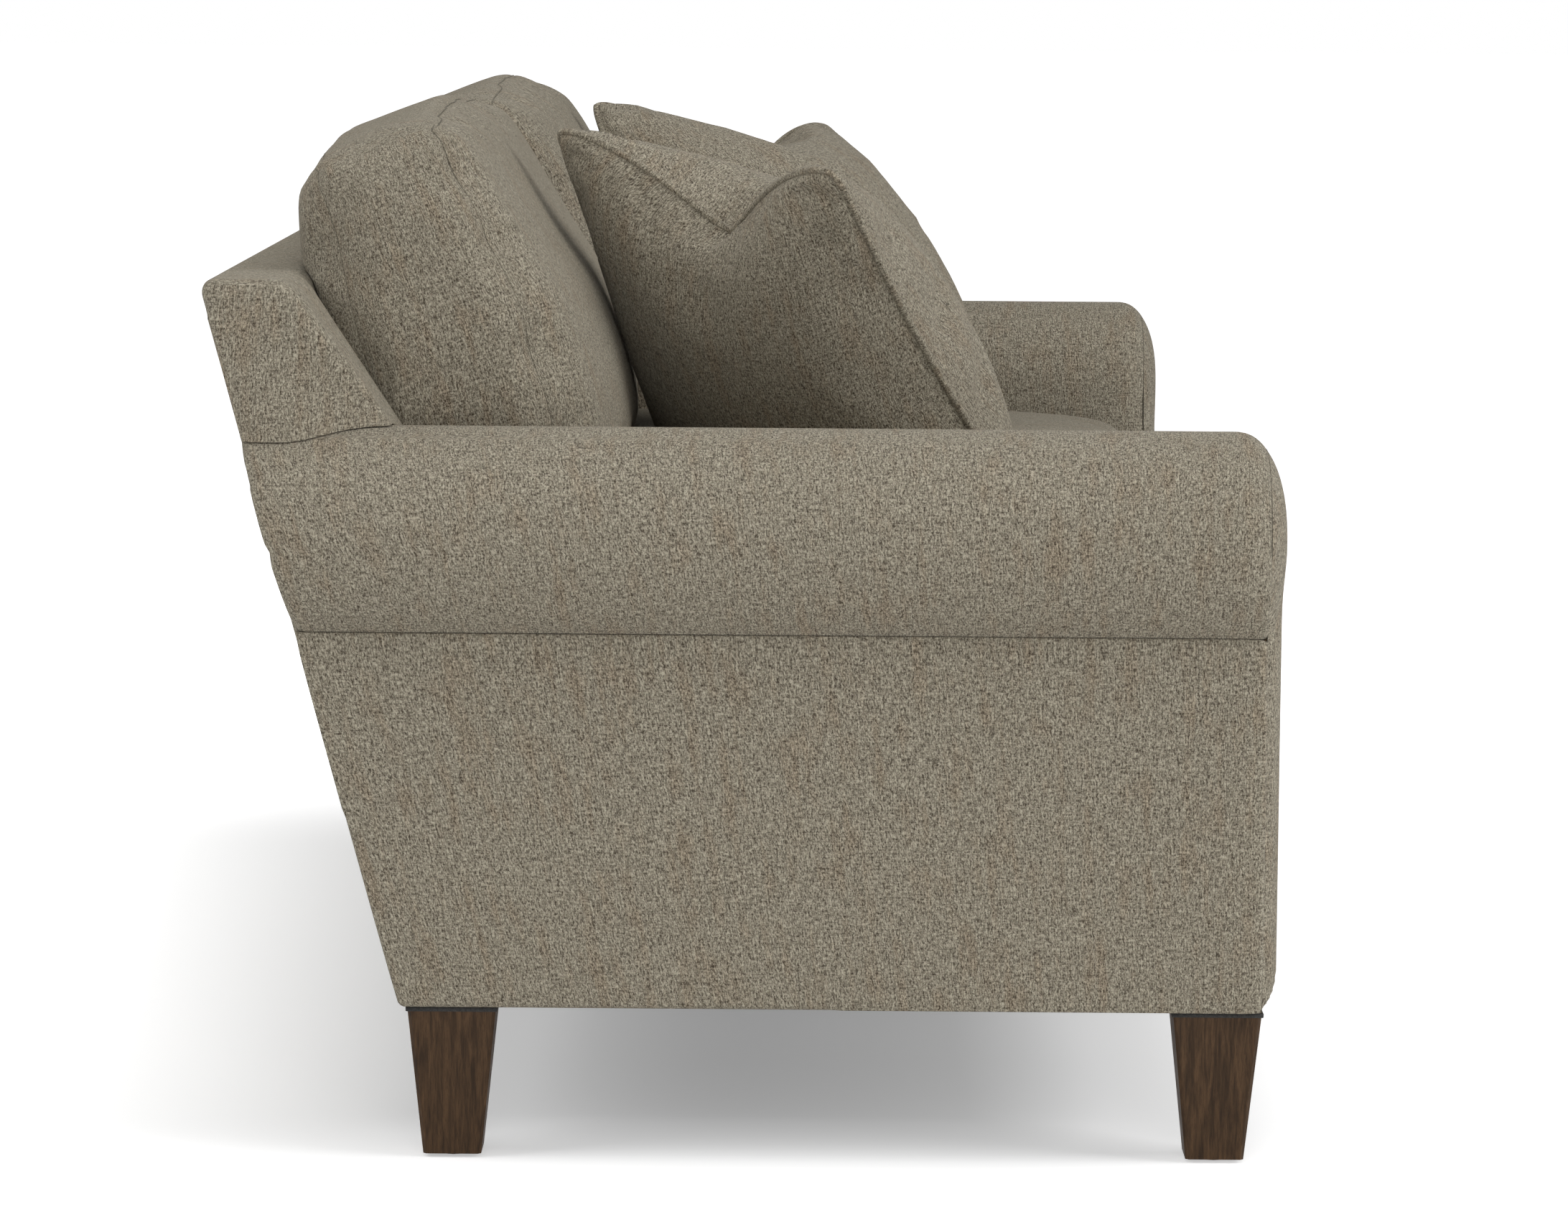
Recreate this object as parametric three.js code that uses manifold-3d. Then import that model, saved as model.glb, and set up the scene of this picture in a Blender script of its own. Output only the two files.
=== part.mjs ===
// English roll arm sofa on tapered legs, with loose seat cushions, back cushions and throw pillows.
// Millimetres, +Z up, length along X, front towards -Y, origin on the floor at the middle of the sofa.
import * as THREE from 'three';
import { mergeVertices } from 'three/addons/utils/BufferGeometryUtils.js';
import Module from 'manifold-3d';

const wasm = await Module();
wasm.setup();

const radians = THREE.MathUtils.degToRad;

// Overall sizes
const overallWidth = 2130;
const overallDepth = 940;
const armHeight = 641;
const undersideHeight = 137;
const deckHeight = 361;
const fit = 0.3;

// Arms
const rollRadius = 94;
const rollOverhang = 45;
const facingThickness = 20;
const facingPuff = 7;
const stumpThickness = 26;
const stumpCrownPadding = 14;
const armBoardThickness = 25;

// Back
const backHeight = 771;
const backRake = radians(15.44);
const backTopThickness = 82;
const backTopRadius = 30;
const backTopFrontRadius = 22;
const insideBackRake = radians(16.9);
const wingRake = radians(33.6);
const wingSeatDepth = 35;
const capLip = 4;

// Upholstery
const coverThickness = 12;
const padThickness = 30;
const borderSetback = 8;
const borderRadius = 5;
const dustCoverThickness = 1.5;

// Hardwood frame
const railThickness = 26;
const railHeight = 190;
const stretcherHeight = 150;
const postDepth = 45;
const topRailHeight = 80;
const lowerRailHeight = 75;
const blockLength = 74;
const blockHeight = 60;

// Legs, glides and hanger bolts
const legTopWidth = 78;
const legBottomWidth = 51;
const legChamfer = 3;
const legSideInset = 8;
const frontLegDepth = 58;
const rearLegInset = 46.3;
const glideRadius = 11;
const glideHeight = 3;
const boltRadius = 4;
const boltInLeg = 36;
const boltInBlock = 48;

// Seat springs
const springsPerSide = 4;
const springWireRadius = 2;
const springLoopWidth = 44;
const springLoops = 7;

// Seat cushion
const seatEdgeThickness = 138;
const seatCrown = 25;
const seatSetback = 34;
const seatSideDrawIn = 2;
const seatCornerDrawn = 12;
const cushionSideGap = 0.5;
const cushionRearGap = 1;
const cushionEdgeRadius = 12;

// Back cushion
const backCushionHeight = 380;
const backCushionEdgeThickness = 127;
const backCushionFrontCrown = 77;
const backCushionRearCrown = 29.7;
const backCushionTopBow = 14;
const backCushionBottomBow = 12;
const backCushionSideDrawIn = 2;
const backCushionCornerDrawn = 7;
const backCushionLean = radians(18);
const backCushionStandoff = 96.2;
const backCushionRise = 207.9;

// Throw pillow
const pillowWidth = 446;
const pillowHeight = 430;
const pillowTopWidth = 358;
const pillowThickness = 186;
const pillowPipingRadius = 4;
const pillowSideDrawIn = 12;
const pillowChop = 96;
const pillowTurn = radians(44.5);
const pillowLean = radians(38.8);
const pillowRoll = -radians(5);
const pillowSideInset = 378;
const pillowStandoff = 301.6;
const pillowDrop = 0.4;

// Mesh fineness
const weldDistance = 1e-3;
const rollSegments = 28;
const cornerSegments = 4;
const wireSides = 4;
const stepsPerLoop = 6;
const pinSides = 12;
const pointsPerSoftSide = 8;
const cornerSharpness = 6;
const crownShares = [0.3, 0.55, 0.75, 0.9, 0.975];
const pillowShares = [0.25, 0.5, 0.7, 0.86, 0.95];

// Places that several pieces share
const frontY = -overallDepth / 2;
const outerX = overallWidth / 2 - rollOverhang;
const bayX = overallWidth / 2 - 2 * rollRadius;
const rollX = overallWidth / 2 - rollRadius;
const rollZ = armHeight - rollRadius;
const frameInnerX = bayX + padThickness + fit;
const frameOuterX = outerX - coverThickness - fit;
const frameFrontY = frontY + facingThickness + fit;
const behindStumpY = frameFrontY + stumpThickness + fit;
const railBottom = undersideHeight + dustCoverThickness + fit;
const railTop = railBottom + railHeight;
const deckBottom = railTop + fit + 2 * springWireRadius + fit;
const capRounding = backTopRadius / Math.tan((Math.PI / 2 - backRake) / 2);
const capBottom = backHeight - capRounding * Math.cos(backRake) - capLip;
const topRailBottom = capBottom - fit - topRailHeight;
const legX = outerX - legSideInset - legTopWidth / 2;
const legTop = undersideHeight - fit;
const frontLegY = frontY + frontLegDepth;

// Depths of the raked planes of the back at a height z
const rearY = (z) => overallDepth / 2 - backTopRadius + backTopRadius / Math.cos(backRake)
  + (z - backHeight + backTopRadius) * Math.tan(backRake);
const coverY = (z) => rearY(z) - coverThickness;
const postRearY = (z) => coverY(z) - fit;
const postFrontY = (z) => postRearY(z) - postDepth;
const topFrontY = rearY(backHeight) - backTopThickness;
const insideBackY = (z) => topFrontY + (z - backHeight) * Math.tan(insideBackRake);
const wingFrontY = (z) => topFrontY + (z - backHeight) * Math.tan(wingRake);

// Places that follow from the raked planes
const rearLegY = rearY(undersideHeight) - rearLegInset;
const backCushionZ = deckHeight + fit + seatEdgeThickness + backCushionRise;
const backCushionY = insideBackY(backCushionZ) - backCushionStandoff;
const pillowY = backCushionY - pillowStandoff;
const pillowZ = backCushionZ - pillowDrop;

// Materials
const tweed = { color: 0x857d6b, roughness: 0.95, metalness: 0 };
const lining = { color: 0x1d1c1a, roughness: 0.9, metalness: 0 };
const hardwood = { color: 0xb48a5a, roughness: 0.7, metalness: 0 };
const stainedWood = { color: 0x4a3b2e, roughness: 0.45, metalness: 0 };
const steel = { color: 0x8c8f92, roughness: 0.4, metalness: 0.9 };
const darkPlastic = { color: 0x2a2622, roughness: 0.6, metalness: 0 };

function piece(name, geometry, look) {
  const mesh = new THREE.Mesh(geometry, new THREE.MeshStandardMaterial(look));
  mesh.name = name;
  return mesh;
}

// Booleans
function solidOf(geometry) {
  const bare = geometry.clone();
  bare.deleteAttribute('normal');
  bare.deleteAttribute('uv');
  const merged = mergeVertices(bare, weldDistance);
  return new wasm.Manifold(new wasm.Mesh({
    numProp: 3,
    vertProperties: merged.attributes.position.array,
    triVerts: new Uint32Array(merged.index.array),
  }));
}

function geometryOf(solid) {
  const { vertProperties, triVerts } = solid.getMesh();
  const geometry = new THREE.BufferGeometry();
  geometry.setAttribute('position', new THREE.BufferAttribute(vertProperties, 3));
  geometry.setIndex(new THREE.BufferAttribute(triVerts, 1));
  geometry.computeVertexNormals();
  return geometry;
}

function carve(geometry, cutters) {
  return geometryOf(cutters.reduce((rest, cutter) => rest.subtract(solidOf(cutter)), solidOf(geometry)));
}

// Outlines and extrusions

// Points of an arc, both ends included
function arc(x, y, radius, from, to, steps) {
  return Array.from({ length: steps + 1 }, (_, step) => {
    const angle = THREE.MathUtils.lerp(from, to, step / steps);
    return [x + radius * Math.cos(angle), y + radius * Math.sin(angle)];
  });
}

// The points that round off the corner [x, y, radius] between two others, or the corner itself
function roundedCorner([x, y, radius = 0], before, after) {
  if (radius === 0) return [[x, y]];
  const corner = new THREE.Vector2(x, y);
  const back = new THREE.Vector2(before[0] - x, before[1] - y).normalize();
  const ahead = new THREE.Vector2(after[0] - x, after[1] - y).normalize();
  const halfAngle = Math.acos(back.dot(ahead)) / 2;
  const inwards = back.clone().add(ahead).normalize();
  const centre = corner.clone().addScaledVector(inwards, radius / Math.sin(halfAngle));
  const from = corner.clone().addScaledVector(back, radius / Math.tan(halfAngle)).sub(centre).angle();
  const turn = (Math.PI - 2 * halfAngle) * Math.sign(ahead.cross(back));
  return arc(centre.x, centre.y, radius, from, from + turn, cornerSegments);
}

// A closed outline through [across, up, radius] corners; the radius may be left out
function outline(corners) {
  const points = corners.flatMap((corner, index) => (
    roundedCorner(corner, corners.at(index - 1), corners[(index + 1) % corners.length])
  ));
  return new THREE.Shape(points.map(([x, y]) => new THREE.Vector2(x, y)));
}

function circle(x, y, radius, steps) {
  return outline(arc(x, y, radius, 0, 2 * Math.PI * (steps - 1) / steps, steps - 1));
}

function rectangle(left, bottom, right, top, radius = 0) {
  return outline([
    [left, bottom, radius], [right, bottom, radius], [right, top, radius], [left, top, radius],
  ]);
}

function extrude(shape, length, options = {}) {
  return new THREE.ExtrudeGeometry(shape, { depth: length, bevelEnabled: false, ...options });
}

// A (y, z) outline stretched from x = left to x = right
function alongX(shape, left, right) {
  const yzx = new THREE.Matrix4().makeBasis(
    new THREE.Vector3(0, 1, 0), new THREE.Vector3(0, 0, 1), new THREE.Vector3(1, 0, 0),
  );
  return extrude(shape, right - left).applyMatrix4(yzx).translate(left, 0, 0);
}

// An (x, z) outline stretched from y = front to y = rear
function alongY(shape, front, rear, options) {
  return extrude(shape, rear - front, options).rotateX(Math.PI / 2).translate(0, rear, 0);
}

// An (x, y) outline stretched from z = bottom to z = top
function alongZ(shape, bottom, top) {
  return extrude(shape, top - bottom).translate(0, 0, bottom);
}

function pin(radius, x, y, bottom, top) {
  return new THREE.CylinderGeometry(radius, radius, top - bottom, pinSides)
    .rotateX(Math.PI / 2).translate(x, y, (bottom + top) / 2);
}

// Rings of the same number of points joined into one closed body, with a flat fan at each end
function loft(rings) {
  const count = rings[0].length;
  const centre = (ring) => (
    ring.reduce((sum, point) => sum.add(point), new THREE.Vector3()).divideScalar(count)
  );
  const points = [...rings.flat(), centre(rings[0]), centre(rings.at(-1))];
  const faces = [];
  for (let i = 0; i < count; i += 1) {
    const next = (i + 1) % count;
    for (let ring = 0; ring < rings.length - 1; ring += 1) {
      const low = ring * count;
      const high = low + count;
      faces.push(low + i, low + next, high + next, low + i, high + next, high + i);
    }
    const last = (rings.length - 1) * count;
    faces.push(rings.length * count, next, i, rings.length * count + 1, last + i, last + next);
  }
  const geometry = new THREE.BufferGeometry().setFromPoints(points);
  geometry.setIndex(faces);
  geometry.computeVertexNormals();
  return geometry;
}

// Frame boards in the raked plane of the back, grown on every side by a clearance
function rakedBoard(left, right, bottom, top, thickness, grow = 0) {
  const front = (z) => postFrontY(z) - grow;
  const rear = (z) => postFrontY(z) + thickness + grow;
  const shape = outline([
    [front(bottom - grow), bottom - grow], [rear(bottom - grow), bottom - grow],
    [rear(top + grow), top + grow], [front(top + grow), top + grow],
  ]);
  return alongX(shape, left - grow, right + grow);
}

const backPost = (grow) => rakedBoard(
  frameInnerX, frameInnerX + railThickness, railBottom, capBottom - fit, postDepth, grow,
);
const topRail = (grow) => rakedBoard(
  fit - frameInnerX, frameInnerX - fit, topRailBottom, topRailBottom + topRailHeight, railThickness, grow,
);

// The roll's outline: a disc without the quarter that the arm's frame and inner pad fill
function rollSection() {
  const frameSide = frameOuterX + fit;
  const crease = Math.acos((frameSide - rollX) / rollRadius);
  return outline([
    [frameSide, rollZ], ...arc(rollX, rollZ, rollRadius, -crease, Math.PI, rollSegments),
  ]);
}

// Outline of the front stump: a straight leg under a half disc
function stumpSection(grow) {
  const radius = rollRadius - stumpCrownPadding + grow;
  const base = rollZ - grow;
  return outline([
    [frameInnerX - grow, railBottom], [frameOuterX + grow, railBottom],
    [frameOuterX + grow, base], [rollX + radius, base],
    ...arc(rollX, rollZ, radius, grow / radius, Math.PI - grow / radius, rollSegments),
    [rollX - radius, base], [frameInnerX - grow, base],
  ]);
}

function outsideBack(grow) {
  const shape = outline([
    [coverY(undersideHeight) - grow, undersideHeight], [rearY(undersideHeight) + grow, undersideHeight],
    [rearY(capBottom - fit) + grow, capBottom - fit], [coverY(capBottom - fit) - grow, capBottom - fit],
  ]);
  return alongX(shape, -outerX - grow, outerX + grow);
}

// Upholstered arm, for the right side

function outsideArm() {
  const top = rollZ - Math.sqrt(rollRadius ** 2 - (frameOuterX + fit - rollX) ** 2) - fit;
  const shape = outline([
    [frameFrontY, undersideHeight], [coverY(undersideHeight) - fit, undersideHeight],
    [coverY(top) - fit, top], [frameFrontY, top],
  ]);
  return alongX(shape, outerX - coverThickness, outerX);
}

function insideArm() {
  const bottom = railTop + fit;
  const top = rollZ - fit;
  const shape = outline([
    [frameFrontY, bottom], [postFrontY(bottom) - fit, bottom],
    [postFrontY(top) - fit, top], [frameFrontY, top],
  ]);
  return alongX(shape, bayX, bayX + padThickness);
}

function armRoll() {
  const full = alongY(rollSection(), frameFrontY, rearY(armHeight));
  const stump = alongY(stumpSection(fit), frameFrontY - fit, behindStumpY);
  const top = armHeight + fit;
  const behind = outline([
    [rearY(undersideHeight), undersideHeight], [rearY(top) + rollRadius, undersideHeight],
    [rearY(top) + rollRadius, top], [rearY(top), top],
  ]);
  const behindBack = alongX(behind, 0, overallWidth);
  return carve(full, [stump, backPost(fit), outsideBack(fit), behindBack]);
}

function armFacing() {
  const crease = Math.acos((outerX - rollX) / rollRadius);
  const shape = outline([
    [bayX, undersideHeight], [outerX, undersideHeight],
    ...arc(rollX, rollZ, rollRadius, -crease, Math.PI, rollSegments),
  ]);
  const options = {
    bevelEnabled: true, bevelSegments: 2,
    bevelThickness: facingPuff, bevelSize: facingPuff, bevelOffset: -facingPuff,
  };
  return alongY(shape, frontY + facingPuff, frontY + facingThickness - facingPuff, options);
}

function wing() {
  const base = armHeight - wingSeatDepth;
  const shape = outline([
    [wingFrontY(base), base], [coverY(base) - fit, base],
    [coverY(capBottom) - fit, capBottom], [rearY(capBottom), capBottom],
    [rearY(backHeight), backHeight, backTopRadius],
    [wingFrontY(backHeight), backHeight, backTopFrontRadius],
  ]);
  const block = alongX(shape, bayX + fit, outerX);
  const rollSpace = new THREE.CylinderGeometry(
    rollRadius + fit, rollRadius + fit, overallDepth, 2 * rollSegments,
  ).translate(rollX, overallDepth / 2, rollZ);
  return carve(block, [rollSpace, backPost(fit), topRail(fit)]);
}

// Upholstered pieces between the arms

function insideBack() {
  const bottom = deckHeight + fit;
  const shape = outline([
    [insideBackY(bottom), bottom], [postFrontY(bottom) - fit, bottom],
    [postFrontY(capBottom) - fit, capBottom], [rearY(capBottom), capBottom],
    [rearY(backHeight), backHeight, backTopRadius],
    [insideBackY(backHeight), backHeight, backTopFrontRadius],
  ]);
  return alongX(shape, -bayX, bayX);
}

function frontBorder() {
  const shape = rectangle(
    frontY + borderSetback, undersideHeight, frontY + facingThickness, deckHeight, borderRadius,
  );
  return alongX(shape, fit - bayX, bayX - fit);
}

function seatDeck() {
  const rear = postFrontY(deckBottom) - fit;
  return alongX(rectangle(frameFrontY, deckBottom, rear, deckHeight), fit - bayX, bayX - fit);
}

function dustCover() {
  const rear = coverY(undersideHeight) - fit;
  const shape = rectangle(-frameOuterX, frameFrontY, frameOuterX, rear);
  for (const x of [-legX, legX]) {
    for (const y of [frontLegY, rearLegY]) {
      shape.holes.push(circle(x, y, boltRadius + fit, pinSides));
    }
  }
  return alongZ(shape, undersideHeight, undersideHeight + dustCoverThickness);
}

// Hardwood frame

function armStump() {
  return alongY(stumpSection(0), frameFrontY, frameFrontY + stumpThickness);
}

function armBoard() {
  const top = rollZ - fit;
  const bottom = top - armBoardThickness;
  const shape = outline([
    [behindStumpY, bottom], [postFrontY(bottom) - fit, bottom],
    [postFrontY(top) - fit, top], [behindStumpY, top],
  ]);
  return alongX(shape, frameInnerX, frameOuterX);
}

function sideRail() {
  const shape = outline([
    [behindStumpY, railBottom], [postFrontY(railBottom) - fit, railBottom],
    [postFrontY(railTop) - fit, railTop], [behindStumpY, railTop],
  ]);
  return alongX(shape, frameInnerX, frameInnerX + railThickness);
}

function frontRail() {
  const shape = rectangle(frameFrontY, railBottom, frameFrontY + stumpThickness, railTop);
  return alongX(shape, fit - frameInnerX, frameInnerX - fit);
}

function centreStretcher() {
  const top = railBottom + stretcherHeight;
  const shape = outline([
    [behindStumpY, railBottom], [postFrontY(railBottom) - fit, railBottom],
    [postFrontY(top) - fit, top], [behindStumpY, top],
  ]);
  return alongX(shape, -railThickness / 2, railThickness / 2);
}

function rearRail() {
  return rakedBoard(fit - frameInnerX, frameInnerX - fit, railBottom, railTop, railThickness);
}

function lowerBackRail() {
  const top = deckHeight + lowerRailHeight;
  return rakedBoard(fit - frameInnerX, frameInnerX - fit, deckHeight, top, railThickness);
}

function centreBackPost() {
  const bottom = deckHeight + lowerRailHeight + fit;
  const top = topRailBottom - fit;
  return rakedBoard(-railThickness / 2, railThickness / 2, bottom, top, postDepth);
}

function cornerBlock(front, rear, boltY) {
  const shape = rectangle(frameInnerX + railThickness + fit, front, frameOuterX, rear);
  shape.holes.push(circle(legX, boltY, boltRadius + fit, pinSides));
  return alongZ(shape, railBottom, railBottom + blockHeight);
}

// Legs, glides and bolts

function leg(y) {
  const ring = (width, z) => {
    const half = width / 2;
    const cut = half - legChamfer;
    const corners = [
      [half, -cut], [half, cut], [cut, half], [-cut, half],
      [-half, cut], [-half, -cut], [-cut, -half], [cut, -half],
    ];
    return corners.map(([across, along]) => new THREE.Vector3(legX + across, y + along, z));
  };
  const body = loft([ring(legBottomWidth, glideHeight + fit), ring(legTopWidth, legTop)]);
  return carve(body, [pin(boltRadius + fit, legX, y, legTop - boltInLeg - fit, legTop + fit)]);
}

// Seat springs

class SinuousLine extends THREE.Curve {
  constructor(x, front, rear, z) {
    super();
    Object.assign(this, { x, front, rear, z });
  }

  getPoint(t, target = new THREE.Vector3()) {
    const swing = Math.sin(2 * Math.PI * springLoops * t) * springLoopWidth / 2;
    return target.set(this.x + swing, THREE.MathUtils.lerp(this.front, this.rear, t), this.z);
  }
}

function seatSpring(index) {
  const x = bayX * (index + 1 / 2) / springsPerSide;
  const rearRailMiddle = postFrontY(railTop) + railThickness / 2;
  const height = railTop + fit + springWireRadius;
  const line = new SinuousLine(x, frameFrontY + stumpThickness / 2, rearRailMiddle, height);
  const wire = circle(0, 0, springWireRadius, wireSides);
  return extrude(wire, 0, { extrudePath: line, steps: springLoops * stepsPerLoop });
}

// Soft forms

// The [s, t] places round a square from -1 to 1, the same number on each side
function squareShares(perSide) {
  const shares = [];
  for (let side = 0; side < 4; side += 1) {
    for (let step = 0; step < perSide; step += 1) {
      const along = 2 * step / perSide - 1;
      shares.push([[1, along], [-along, 1], [-1, -along], [along, -1]][side]);
    }
  }
  return shares;
}

// A cushion's outline: corners drawn in, each side bowed out or, where the bow is negative, in
function softOutline({ width, height, cornerDrawn, sideBow, topBow, bottomBow }) {
  return squareShares(pointsPerSoftSide).map(([s, t]) => {
    const along = Math.abs(s * t);
    const drawn = cornerDrawn * along ** cornerSharpness;
    const bow = 1 - along ** 2;
    const onSide = Math.abs(s) === 1;
    const endBow = t > 0 ? topBow : bottomBow;
    const x = s * (width / 2 - drawn) + (onSide ? s * sideBow * bow : 0);
    const y = t * (height / 2 - drawn) + (onSide ? 0 : t * endBow * bow);
    return new THREE.Vector2(x, y);
  });
}

// Rings of [share, height], each the outline at that share of its full size
function softBody(outlineAt, profile) {
  return loft(profile.map(([share, height]) => (
    outlineAt(share).map((point) => new THREE.Vector3(point.x * share, point.y * share, height))
  )));
}

// A boxed cushion lying flat: a straight band with a crown above it and below it
function boxedCushion(sizes, edge, upperCrown, lowerCrown) {
  const points = softOutline(sizes);
  const lower = crownShares.map((share) => [share, -edge / 2 - lowerCrown * (1 - share ** 2)]);
  const upper = crownShares.map((share) => [share, edge / 2 + upperCrown * (1 - share ** 2)]).reverse();
  const band = edge / 2 - cushionEdgeRadius;
  return softBody(() => points, [...lower, [1, -band], [1, band], ...upper]);
}

function seatCushion() {
  const rear = insideBackY(deckHeight) - cushionRearGap;
  const depth = rear - frontY - seatSetback;
  const sizes = {
    width: bayX - 2 * cushionSideGap, height: depth, cornerDrawn: seatCornerDrawn,
    sideBow: -seatSideDrawIn, topBow: 0, bottomBow: 0,
  };
  return boxedCushion(sizes, seatEdgeThickness, seatCrown, 0)
    .translate(bayX / 2, rear - depth / 2, deckHeight + fit + seatEdgeThickness / 2);
}

function backCushion(name) {
  const sizes = {
    width: bayX - 2 * cushionSideGap, height: backCushionHeight, cornerDrawn: backCushionCornerDrawn,
    sideBow: -backCushionSideDrawIn, topBow: backCushionTopBow, bottomBow: backCushionBottomBow,
  };
  const edge = backCushionEdgeThickness;
  const geometry = boxedCushion(sizes, edge, backCushionFrontCrown, backCushionRearCrown);
  const mesh = piece(name, geometry, tweed);
  mesh.rotation.x = Math.PI / 2 - backCushionLean;
  mesh.position.set(bayX / 2, backCushionY, backCushionZ);
  return mesh;
}

// A knife-edged pillow with its top narrowed and chopped to a V that fades towards its middle
function pillowForm() {
  const outlineAt = (share) => softOutline({
    width: pillowWidth, height: pillowHeight, cornerDrawn: 0,
    sideBow: -pillowSideDrawIn, topBow: -pillowChop * share ** 2, bottomBow: -pillowSideDrawIn,
  }).map(({ x, y }) => {
    const widthShare = THREE.MathUtils.lerp(1, pillowTopWidth / pillowWidth, y / pillowHeight + 1 / 2);
    return new THREE.Vector2(x * widthShare, y);
  });
  const fullness = pillowThickness / 2 - pillowPipingRadius;
  const puff = (share) => pillowPipingRadius + fullness * (1 - share ** 2) ** (2 / 3);
  const lower = pillowShares.map((share) => [share, -puff(share)]);
  const upper = pillowShares.map((share) => [share, puff(share)]).reverse();
  return softBody(outlineAt, [...lower, [1, -pillowPipingRadius], [1, pillowPipingRadius], ...upper]);
}

// The pillow stands in the corner of arm and back, turned, leaning back and rolled a little
function throwPillow(name) {
  const mesh = piece(name, pillowForm(), tweed);
  mesh.rotation.z = pillowRoll;
  const leaning = new THREE.Group();
  leaning.rotation.x = Math.PI / 2 - pillowLean;
  leaning.add(mesh);
  const turned = new THREE.Group();
  turned.rotation.z = -pillowTurn;
  turned.position.set(bayX - pillowSideInset, pillowY, pillowZ);
  turned.add(leaning);
  return turned;
}

// Assembly

function legGroup(name, y, blockFront, blockRear) {
  const bolt = pin(boltRadius, legX, y, legTop - boltInLeg, railBottom + boltInBlock);
  const group = new THREE.Group();
  group.add(
    piece(`leg_${name}`, leg(y), stainedWood),
    piece(`glide_${name}`, pin(glideRadius, legX, y, 0, glideHeight), darkPlastic),
    piece(`hanger_bolt_${name}`, bolt, steel),
    piece(`corner_block_${name}`, cornerBlock(blockFront, blockRear, y), hardwood),
  );
  return group;
}

// Everything that each end of the sofa has once, modelled at the right end and mirrored to the left
function endGroup(side, mirror) {
  const group = new THREE.Group();
  const blockRear = coverY(railBottom) - fit;
  group.add(
    piece(`outside_arm_${side}`, outsideArm(), tweed),
    piece(`inside_arm_${side}`, insideArm(), tweed),
    piece(`arm_roll_${side}`, armRoll(), tweed),
    piece(`arm_facing_${side}`, armFacing(), tweed),
    piece(`back_wing_${side}`, wing(), tweed),
    piece(`arm_stump_${side}`, armStump(), hardwood),
    piece(`arm_board_${side}`, armBoard(), hardwood),
    piece(`side_rail_${side}`, sideRail(), hardwood),
    piece(`back_post_${side}`, backPost(0), hardwood),
    piece(`seat_cushion_${side}`, seatCushion(), tweed),
    backCushion(`back_cushion_${side}`),
    throwPillow(`throw_pillow_${side}`),
    legGroup(`front_${side}`, frontLegY, behindStumpY, behindStumpY + blockLength),
    legGroup(`rear_${side}`, rearLegY, blockRear - blockLength, blockRear),
  );
  for (let index = 0; index < springsPerSide; index += 1) {
    group.add(piece(`seat_spring_${side}_${index + 1}`, seatSpring(index), steel));
  }
  group.scale.x = mirror;
  return group;
}

const sofa = new THREE.Group();
sofa.add(
  piece('outside_back', outsideBack(0), tweed),
  piece('inside_back', insideBack(), tweed),
  piece('front_border', frontBorder(), tweed),
  piece('seat_deck', seatDeck(), lining),
  piece('dust_cover', dustCover(), lining),
  piece('front_rail', frontRail(), hardwood),
  piece('rear_rail', rearRail(), hardwood),
  piece('centre_stretcher', centreStretcher(), hardwood),
  piece('back_top_rail', topRail(0), hardwood),
  piece('back_lower_rail', lowerBackRail(), hardwood),
  piece('back_centre_post', centreBackPost(), hardwood),
  endGroup('right', 1),
  endGroup('left', -1),
);

export default sofa;
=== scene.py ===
"""English roll arm sofa: soft upholstery, cushions, pillows, materials, light and camera."""
import math

import bmesh
import bpy
import numpy as np
from mathutils import Euler, Matrix, Vector, kdtree, noise
from mathutils.bvhtree import BVHTree

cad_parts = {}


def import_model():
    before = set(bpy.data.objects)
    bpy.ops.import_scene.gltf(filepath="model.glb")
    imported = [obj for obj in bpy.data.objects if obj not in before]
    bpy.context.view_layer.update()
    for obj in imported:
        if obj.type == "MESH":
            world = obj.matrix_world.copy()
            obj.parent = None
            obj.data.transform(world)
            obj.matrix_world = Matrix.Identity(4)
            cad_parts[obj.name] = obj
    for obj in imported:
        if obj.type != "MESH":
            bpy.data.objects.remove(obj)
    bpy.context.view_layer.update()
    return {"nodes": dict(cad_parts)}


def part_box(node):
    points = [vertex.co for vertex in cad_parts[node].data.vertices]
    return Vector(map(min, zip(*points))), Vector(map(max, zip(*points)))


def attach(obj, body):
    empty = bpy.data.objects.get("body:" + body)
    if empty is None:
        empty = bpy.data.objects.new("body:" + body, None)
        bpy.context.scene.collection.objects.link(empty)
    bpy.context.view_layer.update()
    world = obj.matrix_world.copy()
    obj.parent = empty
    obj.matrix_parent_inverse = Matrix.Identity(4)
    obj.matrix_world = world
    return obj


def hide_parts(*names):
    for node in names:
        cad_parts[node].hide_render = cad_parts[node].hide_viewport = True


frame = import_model()

# Sizes, in metres

# Thickness of the cover of a flat panel and of the deck's pad, and the radius of a panel's edge
COVER = 0.012
DECK_PAD = 0.0276
PANEL_EDGE = 0.0055

# Half widths: over the outside arms, between the arms, and over the outside back
OUTER_X = 1.020
BAY_X = 0.877
BACK_PANEL_X = OUTER_X - COVER

# An arm's roll: its middle and its radius
ROLL_X = 0.971
ROLL_Z = 0.547
ROLL_RADIUS = 0.094

# Heights: underside, frame rails, deck, where the padded top of the back starts, and that top
UNDERSIDE = 0.137
RAIL_TOP = 0.3295
DECK_Z = 0.361
CAP_Z = 0.7287
BACK_Z = 0.771

# Depths: front of the whole, front border, front seam, and the facing's front at roll and leg
FRONT_Y = -0.470
BORDER_Y = -0.462
FRONT_SEAM_Y = -0.4497
ROLL_FRONT_Y = -0.4677
LEG_FRONT_Y = -0.4652

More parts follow.
